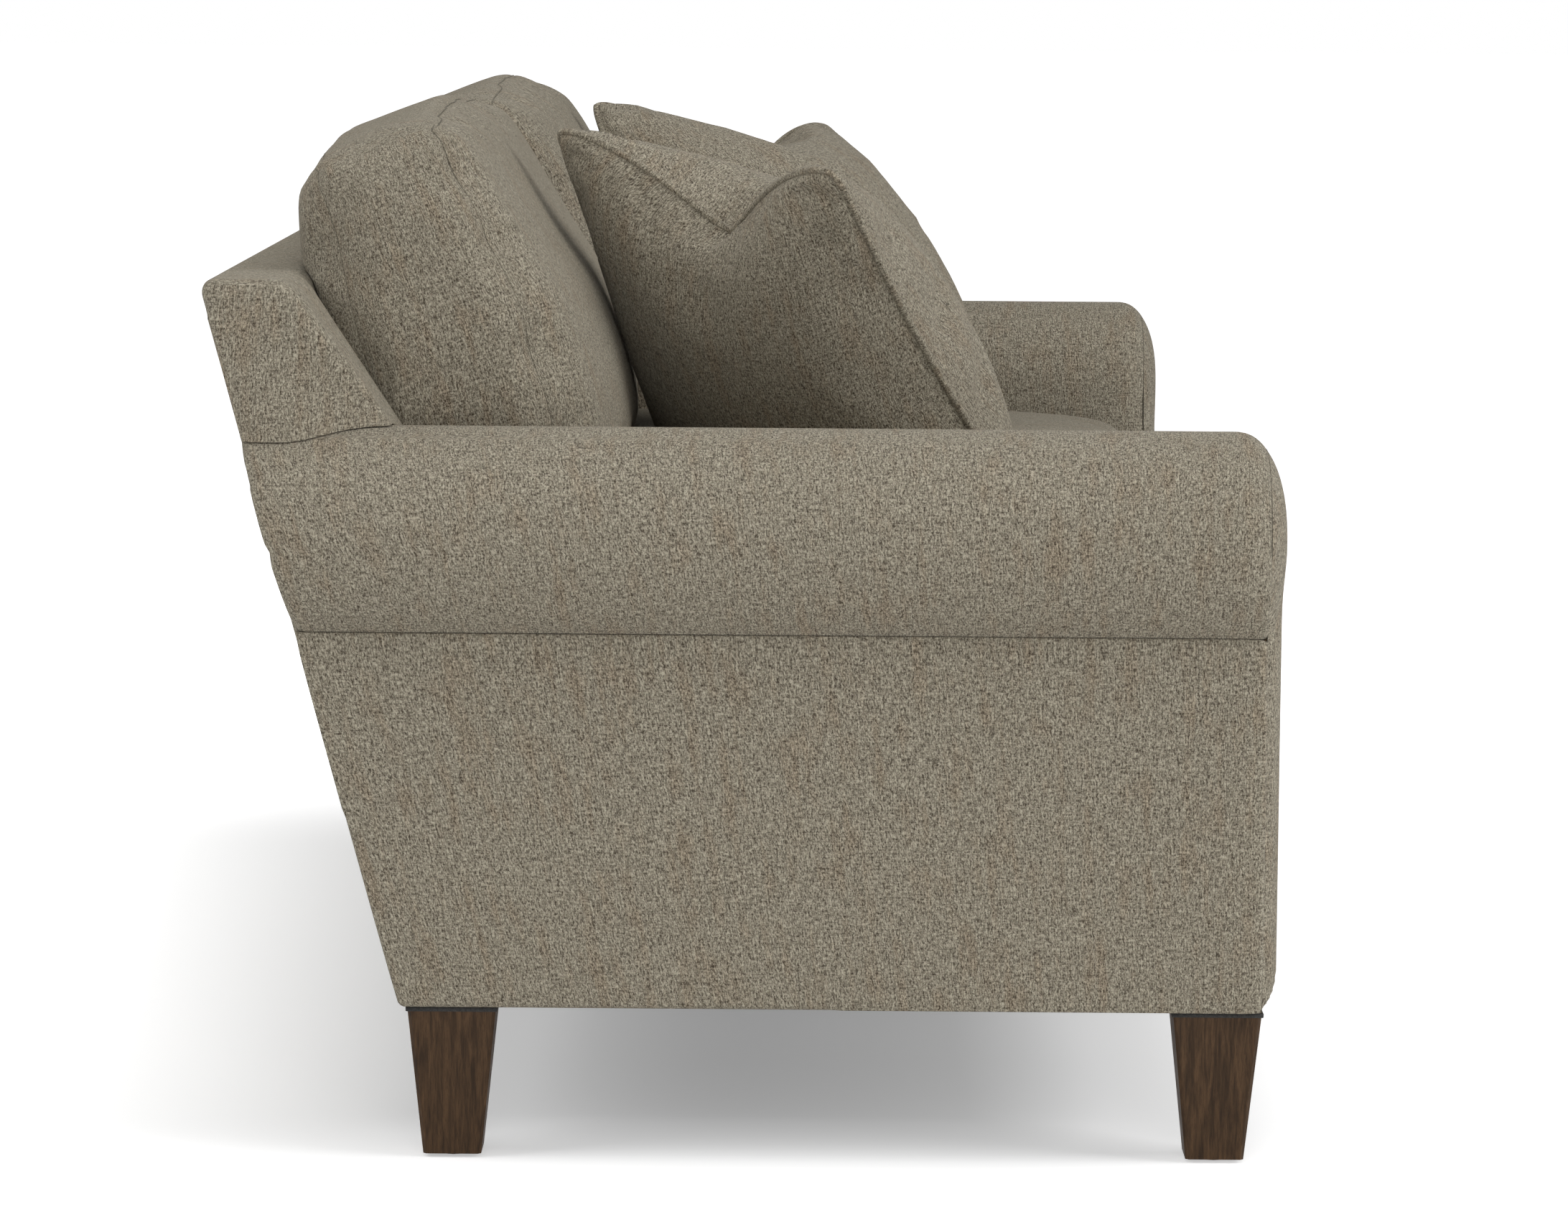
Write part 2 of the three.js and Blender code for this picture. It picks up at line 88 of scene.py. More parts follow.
# The raked back: its top edge, and the rake of its outer face, its inner face and the wings
BACK_TOP_Y = 0.440
BACK_TOP_RADIUS = 0.030
BACK_TOP_THICKNESS = 0.082
BACK_RAKE = math.radians(15.44)
INSIDE_BACK_RAKE = math.radians(16.9)
WING_RAKE = math.radians(33.6)

SIDES = ("right", "left")


def rear_y(z):
    """Depth of the raked outer face of the back at a height."""
    top_y = BACK_TOP_Y + BACK_TOP_RADIUS / math.cos(BACK_RAKE)
    return top_y + (z - BACK_Z + BACK_TOP_RADIUS) * math.tan(BACK_RAKE)


TOP_FRONT_Y = rear_y(BACK_Z) - BACK_TOP_THICKNESS


def inside_back_y(z):
    """Depth of the raked inner face of the back at a height."""
    return TOP_FRONT_Y + (z - BACK_Z) * math.tan(INSIDE_BACK_RAKE)


def wing_front_y(z):
    """Depth of the wing's front edge at a height."""
    return TOP_FRONT_Y + (z - BACK_Z) * math.tan(WING_RAKE)


def smooth(t):
    """A share from 0 to 1, eased at both ends."""
    t = np.clip(t, 0, 1)
    return t * t * (3 - 2 * t)


def quarter(t):
    """Height of a quarter circle of radius 1 at a share of the way in from its edge."""
    t = np.clip(t, 0, 1)
    return np.sqrt(np.clip(1 - (1 - t) ** 2, 0, 1))


def mix(a, b, share):
    """The value a share of the way from a to b."""
    return a + (b - a) * share


# Meshes

# The name of every piece's cloth map, and the steps round a soft edge
CLOTH_MAP = "cloth"
ROUND_STEPS = 4


def mesh_piece(name, points, faces, cloth):
    """A smooth mesh object with a cloth map in metres, one (u, v) for each face corner."""
    mesh = bpy.data.meshes.new(name)
    mesh.from_pydata([tuple(p) for p in points], [], [tuple(f) for f in faces])
    layer = mesh.uv_layers.new(name=CLOTH_MAP)
    layer.uv.foreach_set("vector", np.asarray(cloth, np.float32).ravel())
    mesh.shade_smooth()
    mesh.update()
    piece = bpy.data.objects.new(name, mesh)
    bpy.context.scene.collection.objects.link(piece)
    return piece


def values_of(items, name, width=1, kind=float):
    """One property of all the points, corners or faces of a mesh, as an array."""
    found = np.empty(len(items) * width, kind)
    items.foreach_get(name, found)
    return found if width == 1 else found.reshape(-1, width)


def points_of(piece):
    """A piece's points, as rows of x, y and z."""
    return values_of(piece.data.vertices, "co", 3)


def normals_of(piece):
    """The normals at a piece's points."""
    return values_of(piece.data.vertices, "normal", 3)


def move_points(piece, points):
    """Puts a piece's points where an array says."""
    piece.data.vertices.foreach_set("co", np.asarray(points, np.float32).ravel())
    piece.data.update()


def lines_across(length, radius, spacing):
    """Grid lines from 0 to length, drawn together where the edge is rounded."""
    turn = [radius * (1 - math.tan(math.pi / 4 * step / ROUND_STEPS)) for step in range(ROUND_STEPS, 0, -1)]
    count = max(2, round((length - 2 * radius) / spacing) + 1)
    flat = np.linspace(radius, length - radius, count)
    return np.array([*turn, *flat, *(length - t for t in reversed(turn))])


def grid_faces(count_i, count_j, reverse=False):
    """The places of the four corners of each face of a grid."""
    for i in range(count_i - 1):
        for j in range(count_j - 1):
            ring = [(i, j), (i + 1, j), (i + 1, j + 1), (i, j + 1)]
            yield ring[::-1] if reverse else ring


def grid_rim(last_i, last_j):
    """The places round the edge of a grid, from its first corner along i."""
    there = [(i, 0) for i in range(last_i)] + [(last_i, j) for j in range(last_j)]
    back = [(i, last_j) for i in range(last_i, 0, -1)] + [(0, j) for j in range(last_j, 0, -1)]
    return there + back


# By the name of each block, the points round its lowest and its highest face
edge_rings = {}


def soft_block(name, size, place, radius, spacing, nap=2, puff=None, tighter=None):
    """A box with rounded edges and a fine skin, put in place by a function of its own coordinates.

    nap is the axis along which the cloth's nap runs.
    puff(points, normals) returns how far each point of the skin stands proud.
    tighter(points) returns the share of the radius that each point's edge keeps.
    """
    size = np.array(size, float)
    lines = [lines_across(size[axis], radius, spacing) for axis in range(3)]
    counts = [len(line) for line in lines]
    index = {}
    faces = []
    corners = []

    def vertex(key):
        if key not in index:
            index[key] = len(index)
        return index[key]

    for axis in range(3):
        across, along = [other for other in range(3) if other != axis]
        up = nap if axis != nap else along
        side = across if up != across else along
        for end in (0, counts[axis] - 1):
            for ring in grid_faces(counts[across], counts[along], (end == 0) != (axis == 1)):
                keys = []
                for a, b in ring:
                    key = [0, 0, 0]
                    key[axis], key[across], key[along] = end, a, b
                    keys.append(tuple(key))
                faces.append([vertex(key) for key in keys])
                corners.extend((lines[side][key[side]], lines[up][key[up]]) for key in keys)
    keys = np.array(list(index))
    last_x, last_y, last_z = (count - 1 for count in counts)
    around = grid_rim(last_x, last_y)
    edge_rings[name] = [[index[i, j, end] for i, j in around] for end in (0, last_z)]
    points = np.stack([lines[axis][keys[:, axis]] for axis in range(3)], 1)
    turn = np.full((len(points), 1), radius) if tighter is None else radius * tighter(points)[:, None]
    inner = np.clip(points, turn, size - turn)
    normals = points - inner
    normals /= np.maximum(np.linalg.norm(normals, axis=1, keepdims=True), 1e-9)
    points = inner + normals * turn
    if puff is not None:
        points = points + normals * puff(points, normals)[:, None]
    return mesh_piece(name, place(points), faces, corners)


def swept(name, rings, caps=True):
    """Closed rings of as many points each, joined into a skin. The nap runs round the rings."""
    rings = np.asarray(rings, float)
    stations, count = rings.shape[:2]
    steps = np.linalg.norm(np.diff(rings, axis=0), axis=2).mean(1)
    along = np.concatenate([[0], np.cumsum(steps)])
    turns = np.linalg.norm(np.diff(np.concatenate([rings, rings[:, :1]], 1), axis=1), axis=2).mean(0)
    around = np.concatenate([[0], np.cumsum(turns)])
    faces = []
    corners = []
    for s in range(stations - 1):
        for i in range(count):
            n = (i + 1) % count
            ring = [(s, i, i), (s, n, i + 1), (s + 1, n, i + 1), (s + 1, i, i)]
            faces.append([a * count + b for a, b, _ in ring])
            corners.extend((along[a], around[c]) for a, _, c in ring)
    if caps:
        for s in (0, stations - 1):
            ring = [s * count + i for i in range(count)]
            if s == 0:
                ring.reverse()
            faces.append(ring)
            corners.extend((rings[s, r - s * count, 0], rings[s, r - s * count, 2]) for r in ring)
    return mesh_piece(name, rings.reshape(-1, 3), faces, corners)


# Shift of the cloth map of a mirror copy
OTHER_CUT = Vector((3.71, 1.93))


def mirrored(piece, name):
    """A copy of a piece at the other end of the sofa, with its cloth cut from elsewhere."""
    copy = bpy.data.objects.new(name, piece.data.copy())
    bpy.context.scene.collection.objects.link(copy)
    shape = bmesh.new()
    shape.from_mesh(copy.data)
    for vertex in shape.verts:
        vertex.co.x = -vertex.co.x
    cloth = shape.loops.layers.uv[CLOTH_MAP]
    for face in shape.faces:
        for loop in face.loops:
            loop[cloth].uv += OTHER_CUT
    bmesh.ops.reverse_faces(shape, faces=shape.faces)
    shape.to_mesh(copy.data)
    shape.free()
    return copy


def fabric_noise(points, scale, seed):
    """Smooth noise from -1 to 1 at each point."""
    shift = Vector((seed * 7.31, seed * 3.17, seed * 5.73))
    return np.array([noise.noise(Vector(p) / scale + shift) for p in points])


def mix_ring(ring, part):
    """Pairs of neighbours round a ring of points, or each point twice."""
    ring = np.array(ring)
    return np.stack([ring, np.roll(ring, -1) if part else ring], 1)


def bake_modifiers(piece):
    """Keeps the shape that the modifiers give and drops the modifiers."""
    evaluated = piece.evaluated_get(bpy.context.evaluated_depsgraph_get())
    mesh = bpy.data.meshes.new_from_object(evaluated)
    piece.modifiers.clear()
    old = piece.data
    piece.data = mesh
    mesh.name = piece.name
    bpy.data.meshes.remove(old)


# How deep the cloth is drawn in at a seam, how far from it the groove and the puckers reach,
# the sizes of the puckers, and the size and height of the slow waves elsewhere
SEAM_DEPTH = 0.0018
GROOVE_REACH = 0.006
PUCKER_REACH = 0.028
PUCKER_SIZES = (0.022, 0.055)
WAVE_SIZE = 0.20
WAVE_HEIGHT = 0.0022


def sewn(piece, rings, seed):
    """Smooths the skin once, then draws the cloth in along its seams and puckers it beside them."""
    modifier = piece.modifiers.new("smooth_skin", "SUBSURF")
    modifier.levels = 1
    bake_modifiers(piece)
    points, normals = points_of(piece), normals_of(piece)
    lines = [points[mix_ring(ring, part)].mean(1) for ring in rings for part in (0, 1)]
    tree = kdtree.KDTree(sum(len(line) for line in lines))
    for number, point in enumerate(np.concatenate(lines)):
        tree.insert(point, number)
    tree.balance()
    near = np.array([tree.find(point)[2] for point in points])
    fine, broad = PUCKER_SIZES
    pucker = 0.45 * fabric_noise(points, fine, seed) + fabric_noise(points, broad, seed + 1)
    wave = fabric_noise(points, WAVE_SIZE, seed + 2)
    move = SEAM_DEPTH * (pucker * np.exp(-near / PUCKER_REACH) - 0.9 * np.exp(-near / GROOVE_REACH))
    move += WAVE_HEIGHT * wave * smooth(near / 0.06)
    move_points(piece, points + normals * move[:, None])


def seam_shade_tube(name, line, normals, radius, sides=6):
    """A thin dark tube round a closed row of points, lying in the skin along a seam: painted shade of the
    seam's groove.

    radius is one value, or one for each point.
    """
    count = len(line)
    radius = np.broadcast_to(radius, count)
    rings = []
    for k in range(count):
        along = line[(k + 1) % count] - line[k - 1]
        along /= np.linalg.norm(along)
        up = normals[k] - along * (normals[k] @ along)
        up /= max(np.linalg.norm(up), 1e-9)
        side = np.cross(along, up)
        turns = np.linspace(0, 2 * math.pi, sides, endpoint=False)
        rings.append([line[k] + radius[k] * (math.cos(a) * side + math.sin(a) * up) for a in turns])
    rings.append(rings[0])
    return swept(name, rings, caps=False)


# Upholstery

# The pieces by material; the seam lines' slot holds thin dark tubes along the seams, painted shade of their
# grooves.
dressed = {"upholstery": [], "lining": [], "seam_shade_line": []}


def dress(piece, body, *nodes, slot="upholstery", fill=None):
    """Says what a piece rides on, which solids it stands for and what it is made of."""
    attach(piece, body)
    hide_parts(*nodes)
    dressed[slot].append(piece)
    return piece


def both_ends(piece, body, *nodes, slot="upholstery", fill=None):
    """Dresses the right-hand piece and its mirror copy at the left end."""
    base = piece.name
    copy = mirrored(piece, base + "_left")
    piece.name = base + "_right"
    for side, each in zip(SIDES, (piece, copy)):
        dress(each, body.format(side=side), *(node + "_" + side for node in nodes), slot=slot, fill=fill)


# The crease where the roll meets the outside arm, and the edges of the cover's hidden part
CREASE_X = 1.0145
HIDDEN_X = (0.9075, 1.0085)


def arm_section():
    """The (x, z) outline of the arm's cover: up the inside, over the roll to the crease, and back within."""
    crease = math.acos((CREASE_X - ROLL_X) / ROLL_RADIUS)
    inside = [(BAY_X, z) for z in np.linspace(RAIL_TOP, ROLL_Z - 0.012, 20)]
    over = [
        (ROLL_X + ROLL_RADIUS * math.cos(a), ROLL_Z + ROLL_RADIUS * math.sin(a))
        for a in np.linspace(math.pi, -crease, 56)
    ]
    low, high = HIDDEN_X
    hidden = [(high, ROLL_Z - 0.075), (high, ROLL_Z), (low, ROLL_Z), (low, RAIL_TOP)]
    return np.array(inside + over), np.array(hidden)


# Reach back from the foremost point, and width, of the stuffed front corners, and their roundness
ROLL_CORNER = (0.045, 0.080)
LEG_CORNER = (0.030, 0.045)
CORNER_POWER = 2.3


def corner_inset(depth, corner):
    """How far the stuffed front corner is drawn in at a depth behind its foremost point."""
    reach, width = corner
    share = np.clip(1 - depth / reach, 0, 1)
    return width * (1 - np.sqrt(1 - share ** CORNER_POWER))


def corner_depth(inset, corner):
    """The depth behind the foremost point at which the stuffed corner is drawn in this far."""
    reach, width = corner
    share = 1 - np.clip(inset / width, 0, 1)
    return reach * (1 - (1 - share ** 2) ** (1 / CORNER_POWER))


def outward_normals(path):
    """The normals of a flat path, on its outer side."""
    along = np.gradient(path, axis=0)
    along /= np.linalg.norm(along, axis=1, keepdims=True)
    return np.stack([-along[:, 1], along[:, 0]], 1)


# How far below the roll's middle the arm starts to widen into it
ROLL_DROP = 0.061

# Heights of the gathers at the roll's rear end, and the steps of its rings at the front and rear seams
ROLL_GATHERS_Z = (0.605, 0.537)
ROLL_FRONT_STEPS = (0, 0.0012, 0.003, 0.0055, 0.009, 0.013, 0.018, 0.0235, 0.0292)
ROLL_REAR_STEPS = (0.3, 0.55, 0.75, 0.9, 0.97, 1.0)


def arm_cover():
    """The padded cover of inside arm and roll, drawn in at its front and rear seams."""
    path, hidden = arm_section()
    normals = outward_normals(path)
    reach_rear, drawn_rear = 0.012, 0.006
    on_roll = smooth((path[:, 1] - ROLL_Z + ROLL_DROP) / 0.05)
    crown = 0.0016 * smooth((path[:, 1] - ROLL_Z) / ROLL_RADIUS)
    beyond_back = smooth((path[:, 0] - BACK_PANEL_X) / 0.002)
    gathers = sum(np.exp(-((path[:, 1] - z) / 0.006) ** 2) for z in ROLL_GATHERS_Z)
    ends = rear_y(path[:, 1]) - mix(COVER + 0.0006, 0.0008 + 0.0024 * gathers, beyond_back)
    rings = []
    for near in ROLL_FRONT_STEPS:
        depth = FRONT_SEAM_Y + near
        drawn_side = 0.004 * (1 - quarter(near / 0.012))
        inset = mix(drawn_side, corner_inset(depth - ROLL_FRONT_Y, ROLL_CORNER), on_roll)
        proud = crown * quarter(near / 0.03) - inset
        rings.append((path + normals * proud[:, None], np.full(len(path), depth)))
    for share in np.linspace(0, 1, 66)[1:]:
        y = mix(np.full(len(path), FRONT_SEAM_Y + ROLL_FRONT_STEPS[-1]), ends - reach_rear, share)
        rings.append((path + normals * crown[:, None], y))
    for step in ROLL_REAR_STEPS:
        inset = drawn_rear * (1 - math.sqrt(1 - step ** 2))
        rings.append((path + normals * (crown - inset)[:, None], ends - reach_rear * (1 - step)))
    full = []
    for ring, depths in rings:
        outer = np.stack([ring[:, 0], depths, ring[:, 1]], 1)
        start, end = depths[0], depths[-1]
        inner_y = [end, mix(end, depths[40], 0.3), depths[20], start]
        inner = np.stack([hidden[:, 0], inner_y, hidden[:, 1]], 1)
        full.append(np.concatenate([outer, inner]))
    return swept("arm_cover", full)


def map_cloth(piece):
    """A cloth map in metres by the way that each face looks, with the nap upright."""
    mesh = piece.data
    facing = np.abs(values_of(mesh.polygons, "normal", 3)).argmax(1)
    facing = np.repeat(facing, values_of(mesh.polygons, "loop_total", kind=int))
    at = points_of(piece)[values_of(mesh.loops, "vertex_index", kind=int)]
    up = np.where(facing == 2, 1, 2)
    side = 3 - facing - up
    rows = np.arange(len(at))
    cloth = np.stack([at[rows, side], at[rows, up]], 1)
    mesh.uv_layers[CLOTH_MAP].uv.foreach_set("vector", cloth.astype(np.float32).ravel())


# The places of the first lines in from an edge
EDGE_STEPS = (0.0, 0.0006, 0.0018, 0.0038, 0.0068, 0.011, 0.0165, 0.0235, 0.032)


def graded(length, spacing):
    """Shares of a length from 0 to 1, close together at its ends."""
    start = [step for step in EDGE_STEPS if step < length * 0.45]
    far = length - start[-1]
    count = max(2, round((far - start[-1]) / spacing) + 1)
    inner = np.linspace(start[-1], far, count)[1:-1]
    tail = [length - step for step in reversed(start)]
    return np.array([*start, *inner, *tail]) / length


ROLL_SEAM_INSET = float(corner_inset(FRONT_SEAM_Y - ROLL_FRONT_Y, ROLL_CORNER))
LEG_SEAM_INSET = float(corner_inset(FRONT_SEAM_Y - LEG_FRONT_Y, LEG_CORNER))
SEAM_RADIUS = ROLL_RADIUS - ROLL_SEAM_INSET


def facing_edges(z):
    """Left and right ends of the facing's seam at a height below the roll's centre."""
    left = BAY_X + 0.0015 + 0.011 * smooth((z - ROLL_Z + ROLL_DROP) / ROLL_DROP)
    bulge = ROLL_X + np.sqrt(np.clip(SEAM_RADIUS ** 2 - (z - ROLL_Z) ** 2, 0, None))
    return left, np.maximum(OUTER_X - LEG_SEAM_INSET, bulge)


# Points on each edge of the rim, for the distance from it
RIM_PARTS = 4


def arm_facing():
    """The stuffed front facing: one dome inside its seam, over the roll and down the arm's front.

    It comes with the line of its seam, which leaves out the points inside the bottom edge.
    """
    straight = ROLL_Z - UNDERSIDE
    across = graded(OUTER_X - BAY_X, 0.008)
    up_length = straight + SEAM_RADIUS * 1.3
    up = graded(up_length, 0.009)
    turn = straight / up_length
    a, b = np.meshgrid(across, up, indexing="ij")
    z_low = mix(UNDERSIDE + 0.001, ROLL_Z, b / turn)
    left, right = facing_edges(z_low)
    u, v = 2 * a - 1, (b - turn) / (1 - turn)
    on_disc = b > turn
    v = np.where(on_disc, v, 0)
    low_left, low_right = facing_edges(ROLL_Z)
    low_radius = (low_right - low_left) / 2
    disc_x = ROLL_X + mix(low_radius, SEAM_RADIUS, v) * u * np.sqrt(1 - v ** 2 / 2)
    disc_z = ROLL_Z + SEAM_RADIUS * v * np.sqrt(1 - u ** 2 / 2)
    x = np.where(on_disc, disc_x, mix(left, right, a))
    z = np.where(on_disc, disc_z, z_low)
    rim = [(i, j) for j, i in grid_rim(len(up) - 1, len(across) - 1)]
    tree = kdtree.KDTree(len(rim) * RIM_PARTS)
    for k, (i, j) in enumerate(rim):
        i2, j2 = rim[(k + 1) % len(rim)]
        for part in range(RIM_PARTS):
            share = part / RIM_PARTS
            point = (mix(x[i, j], x[i2, j2], share), mix(z[i, j], z[i2, j2], share), 0)
            tree.insert(point, RIM_PARTS * k + part)
    tree.balance()
    inward = np.array([[tree.find((*point, 0))[2] for point in zip(*row)] for row in zip(x, z)])
    on_roll = smooth((z - ROLL_Z + 0.075) / 0.07)
    on_leg_y = LEG_FRONT_Y + corner_depth(LEG_SEAM_INSET + inward, LEG_CORNER)
    on_leg_y = on_leg_y + 0.0050 * (1 - quarter((z - UNDERSIDE) / 0.024))
    on_roll_y = ROLL_FRONT_Y + corner_depth(ROLL_SEAM_INSET + inward, ROLL_CORNER)
    y = np.minimum(mix(on_leg_y, on_roll_y, on_roll), FRONT_SEAM_Y - 0.0004)
    count = len(up)
    front = np.stack([x, y, z], -1).reshape(-1, 3)
    back = np.stack([x, np.full_like(x, FRONT_SEAM_Y - 0.0002), z], -1).reshape(-1, 3)
    faces, corners = [], []
    for base in (0, len(front)):
        for ring in grid_faces(len(across), count, base > 0):
            faces.append([base + r * count + c for r, c in ring])
            corners.extend((x[r, c], z[r, c]) for r, c in ring)
    for k, (i, j) in enumerate(rim):
        i2, j2 = rim[(k + 1) % len(rim)]
        near, far = i * count + j, i2 * count + j2
        faces.append([near, far, len(front) + far, len(front) + near])
        here, there = (x[i, j], z[i, j]), (x[i2, j2], z[i2, j2])
        corners.extend([here, there, there, here])
    piece = mesh_piece("arm_facing_cover", np.concatenate([front, back]), faces, corners)
    open_rim = rim[:2 - len(across)]
    return piece, np.array([(x[i, j], FRONT_SEAM_Y - 0.0002, z[i, j]) for i, j in open_rim])


def domed(at, length, reach):
    """Height from 0 to 1 of stuffing that rises within a reach from both ends of a length."""
    return quarter(np.minimum(at, length - at) / reach)


def moved_to(x, y, z):
    """Puts a block's own origin at a point."""
    return lambda p: p + np.array([x, y, z])


def outside_arm():
    """The flat panel below the roll, stuffed a little and turned in at its seams."""
    bottom, top = UNDERSIDE, ROLL_Z - 0.0835
    length = 0.80

    def place(p):
        z = bottom + p[:, 2]
        y = mix(FRONT_SEAM_Y, rear_y(z) - 0.0008, p[:, 1] / length)
        drawn = corner_inset(y - LEG_FRONT_Y, LEG_CORNER)
        x = OUTER_X - COVER + p[:, 0] - drawn * smooth(p[:, 0] / COVER)
        below_roll = ROLL_Z - np.sqrt(ROLL_RADIUS ** 2 - (x - ROLL_X) ** 2) - 0.0006
        z = z + (below_roll - top).clip(0) * smooth((z - top + 0.02) / 0.02)
        return np.stack([x, y, z], 1)

    def puff(p, n):
        return 0.0025 * n[:, 0].clip(0, 1) * domed(p[:, 2], top - bottom, 0.10)

    def tighter(p):
        return np.where(p[:, 2] > (top - bottom) / 2, 0.15, 1.0) * np.where(p[:, 1] < length / 2, 0.25, 1.0)

    size = (COVER + 0.0005, length, top - bottom)
    return soft_block("outside_arm_cover", size, place, PANEL_EDGE, 0.012, puff=puff, tighter=tighter)


def outside_back():
    """The raked outside back panel."""
    height = CAP_Z - 0.0005 - UNDERSIDE

    def place(p):
        z = UNDERSIDE + p[:, 2]
        y = rear_y(z) - COVER + p[:, 1]
        return np.stack([p[:, 0] - BACK_PANEL_X, y, z], 1)

    def puff(p, n):
        dome = domed(p[:, 0], 2 * BACK_PANEL_X, 0.2) * domed(p[:, 2], height, 0.2)
        return 0.004 * n[:, 1].clip(0, 1) * dome

    size = (2 * BACK_PANEL_X, COVER, height)
    return soft_block("outside_back_cover", size, place, PANEL_EDGE, spacing=0.014, puff=puff)


def back_with_wings():
    """The padded inside back, its rounded top and the wing over each arm, in one cover."""
    low, common = DECK_Z + 0.0005, 0.671
    depth = 0.090
    height = BACK_Z - low

    def place(p):
        x = p[:, 0] - OUTER_X
        reach = np.abs(x)
        on_wing = quarter((reach - (BAY_X - 0.001)) / 0.022)
        nominal = low + p[:, 2]
        share = p[:, 1] / depth
        inward = 0.036 * smooth(1 - share / 0.75) * on_wing * smooth((reach - 0.93) / 0.08)
        clear_radius = ROLL_RADIUS + mix(0.0005, 0.0024, smooth((reach - 0.90) / 0.05))
        roll_top = ROLL_Z + np.sqrt(np.clip(clear_radius ** 2 - (reach - inward - ROLL_X) ** 2, 0, None))
        floor_z = mix(low, roll_top, on_wing)
        z = np.where(nominal > common, nominal, mix(floor_z, common, (nominal - low) / (common - low)))
        front = mix(inside_back_y(z), wing_front_y(z), on_wing)
        behind = np.maximum(smooth((z - CAP_Z + 0.002) / 0.003), smooth((reach - BACK_PANEL_X) / 0.0015))
        rear = mix(rear_y(z) - COVER - 0.0008, rear_y(z) - 0.0006, behind)
        inner_rear = mix(rear_y(z) - COVER - 0.0462, rear, np.maximum(on_wing, behind))
        y = mix(front, inner_rear, share)
        x = np.sign(x) * (reach - inward * smooth((0.746 - z) / 0.10))
        return np.stack([x, y, z], 1)

    def tighter(p):
        rear = np.where((p[:, 1] > depth / 2) & (p[:, 2] < height - 0.03), 0.45, 1.0)
        return np.where(p[:, 2] < 0.03, 0.3, rear)

    size = (2 * OUTER_X, depth, height)
    piece = soft_block("back_with_wings", size, place, radius=0.016, spacing=0.009, tighter=tighter)
    map_cloth(piece)
    return piece


# Width of the front border and of the deck, between the arms
FRONT_WIDTH = 2 * (BAY_X - 0.0003)


def front_border():
    """The border below the seat cushions."""
    height = DECK_Z - UNDERSIDE

    def puff(p, n):
        return 0.004 * (-n[:, 1]).clip(0, 1) * domed(p[:, 2], height, 0.06)

    place = moved_to(-FRONT_WIDTH / 2, BORDER_Y, UNDERSIDE)
    size = (FRONT_WIDTH, COVER, height)
    return soft_block("front_border_cover", size, place, PANEL_EDGE, spacing=0.012, puff=puff)


# Where the deck's upholstered front band meets its lining, the gap at each side, and the rear end
DECK_JOIN_Y = -0.35
JOIN_GAP = 0.0003
DECK_REAR_Y = 0.3008


def seat_deck(name, front, rear):
    """A stretch of the padded deck below the seat cushions."""
    place = moved_to(-FRONT_WIDTH / 2, front, DECK_Z - DECK_PAD)
    return soft_block(name, (FRONT_WIDTH, rear - front, DECK_PAD), place, radius=0.010, spacing=0.016)


# Flat size of the dust cover, the outline of the rails that it is stapled to, and its sag
DUST_COVER = (2 * 1.0077, 0.7417)
DUST_COVER_SAG = 0.005


def dust_cover():
    """The thin cloth under the frame, sagging a little between its staples."""
    width, depth = DUST_COVER

    def puff(p, n):
        dome = domed(p[:, 0], width, 0.5) * domed(p[:, 1], depth, 0.35)
        return DUST_COVER_SAG * (-n[:, 2]).clip(0, 1) * dome

    place = moved_to(-width / 2, FRONT_SEAM_Y, UNDERSIDE)
    return soft_block("dust_cover_cloth", (width, depth, 0.0015), place, 0.0006, spacing=0.02, puff=puff)


# Points round the dark band painted as shade at a leg's top, and the section: how far out from the leg and
# how far below its top
SHADE_BAND_SIDES = 24
SHADE_BAND_SECTION = ((0.0002, 0.0044), (0.0010, 0.0040), (0.0011, 0.0008), (0.0002, 0.0003))


def leg_shade_band(name, leg):
    """A thin black band round the top of a leg where it meets the frame: painted shade of the gap below the
    upholstery.
    """
    low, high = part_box(leg)
    middle = [(low[axis] + high[axis]) / 2 for axis in (0, 1)]
    half = [(high[axis] - low[axis]) / 2 for axis in (0, 1)]
    rings = []
    for out, below in SHADE_BAND_SECTION:
        ring = []
        for step in range(SHADE_BAND_SIDES):
            turn = 2 * math.pi * step / SHADE_BAND_SIDES
            share = 1 / max(abs(math.cos(turn)), abs(math.sin(turn)))
            ring.append((
                middle[0] + (half[0] + out) * share * math.cos(turn),
                middle[1] + (half[1] + out) * share * math.sin(turn),
                high[2] - below,
            ))
        rings.append(ring)
    rings.append(rings[0])
    return swept(name, rings, caps=False)


both_ends(arm_cover(), "frame", "arm_roll", "inside_arm", fill=0.9)
facing, facing_line = arm_facing()
outward = facing_line - np.array([ROLL_X, FRONT_SEAM_Y, 0.5])
outward[:, 2] *= facing_line[:, 2] > ROLL_Z
# A thin dark line along the facing's seam, painted shade of its groove, thinner higher up where it runs over
# the roll.
facing_shade_line_radius = mix(0.0005, 0.0002, smooth((facing_line[:, 2] - 0.44) / 0.05))
facing_seam = seam_shade_tube("arm_facing_seam", facing_line, outward, facing_shade_line_radius)
both_ends(facing, "frame", "arm_facing", fill=0.9)
both_ends(facing_seam, "frame", slot="seam_shade_line")
both_ends(outside_arm(), "frame", "outside_arm", fill=0.9)
dress(outside_back(), "frame", "outside_back", fill=0.9)
back_shell = dress(back_with_wings(), "frame", "inside_back", "back_wing_left", "back_wing_right", fill=0.9)
dress(front_border(), "frame", "front_border", fill=0.9)
deck_band = seat_deck("deck_front_band", FRONT_SEAM_Y, DECK_JOIN_Y - JOIN_GAP)
deck_cloth = seat_deck("seat_deck_cloth", DECK_JOIN_Y + JOIN_GAP, DECK_REAR_Y)
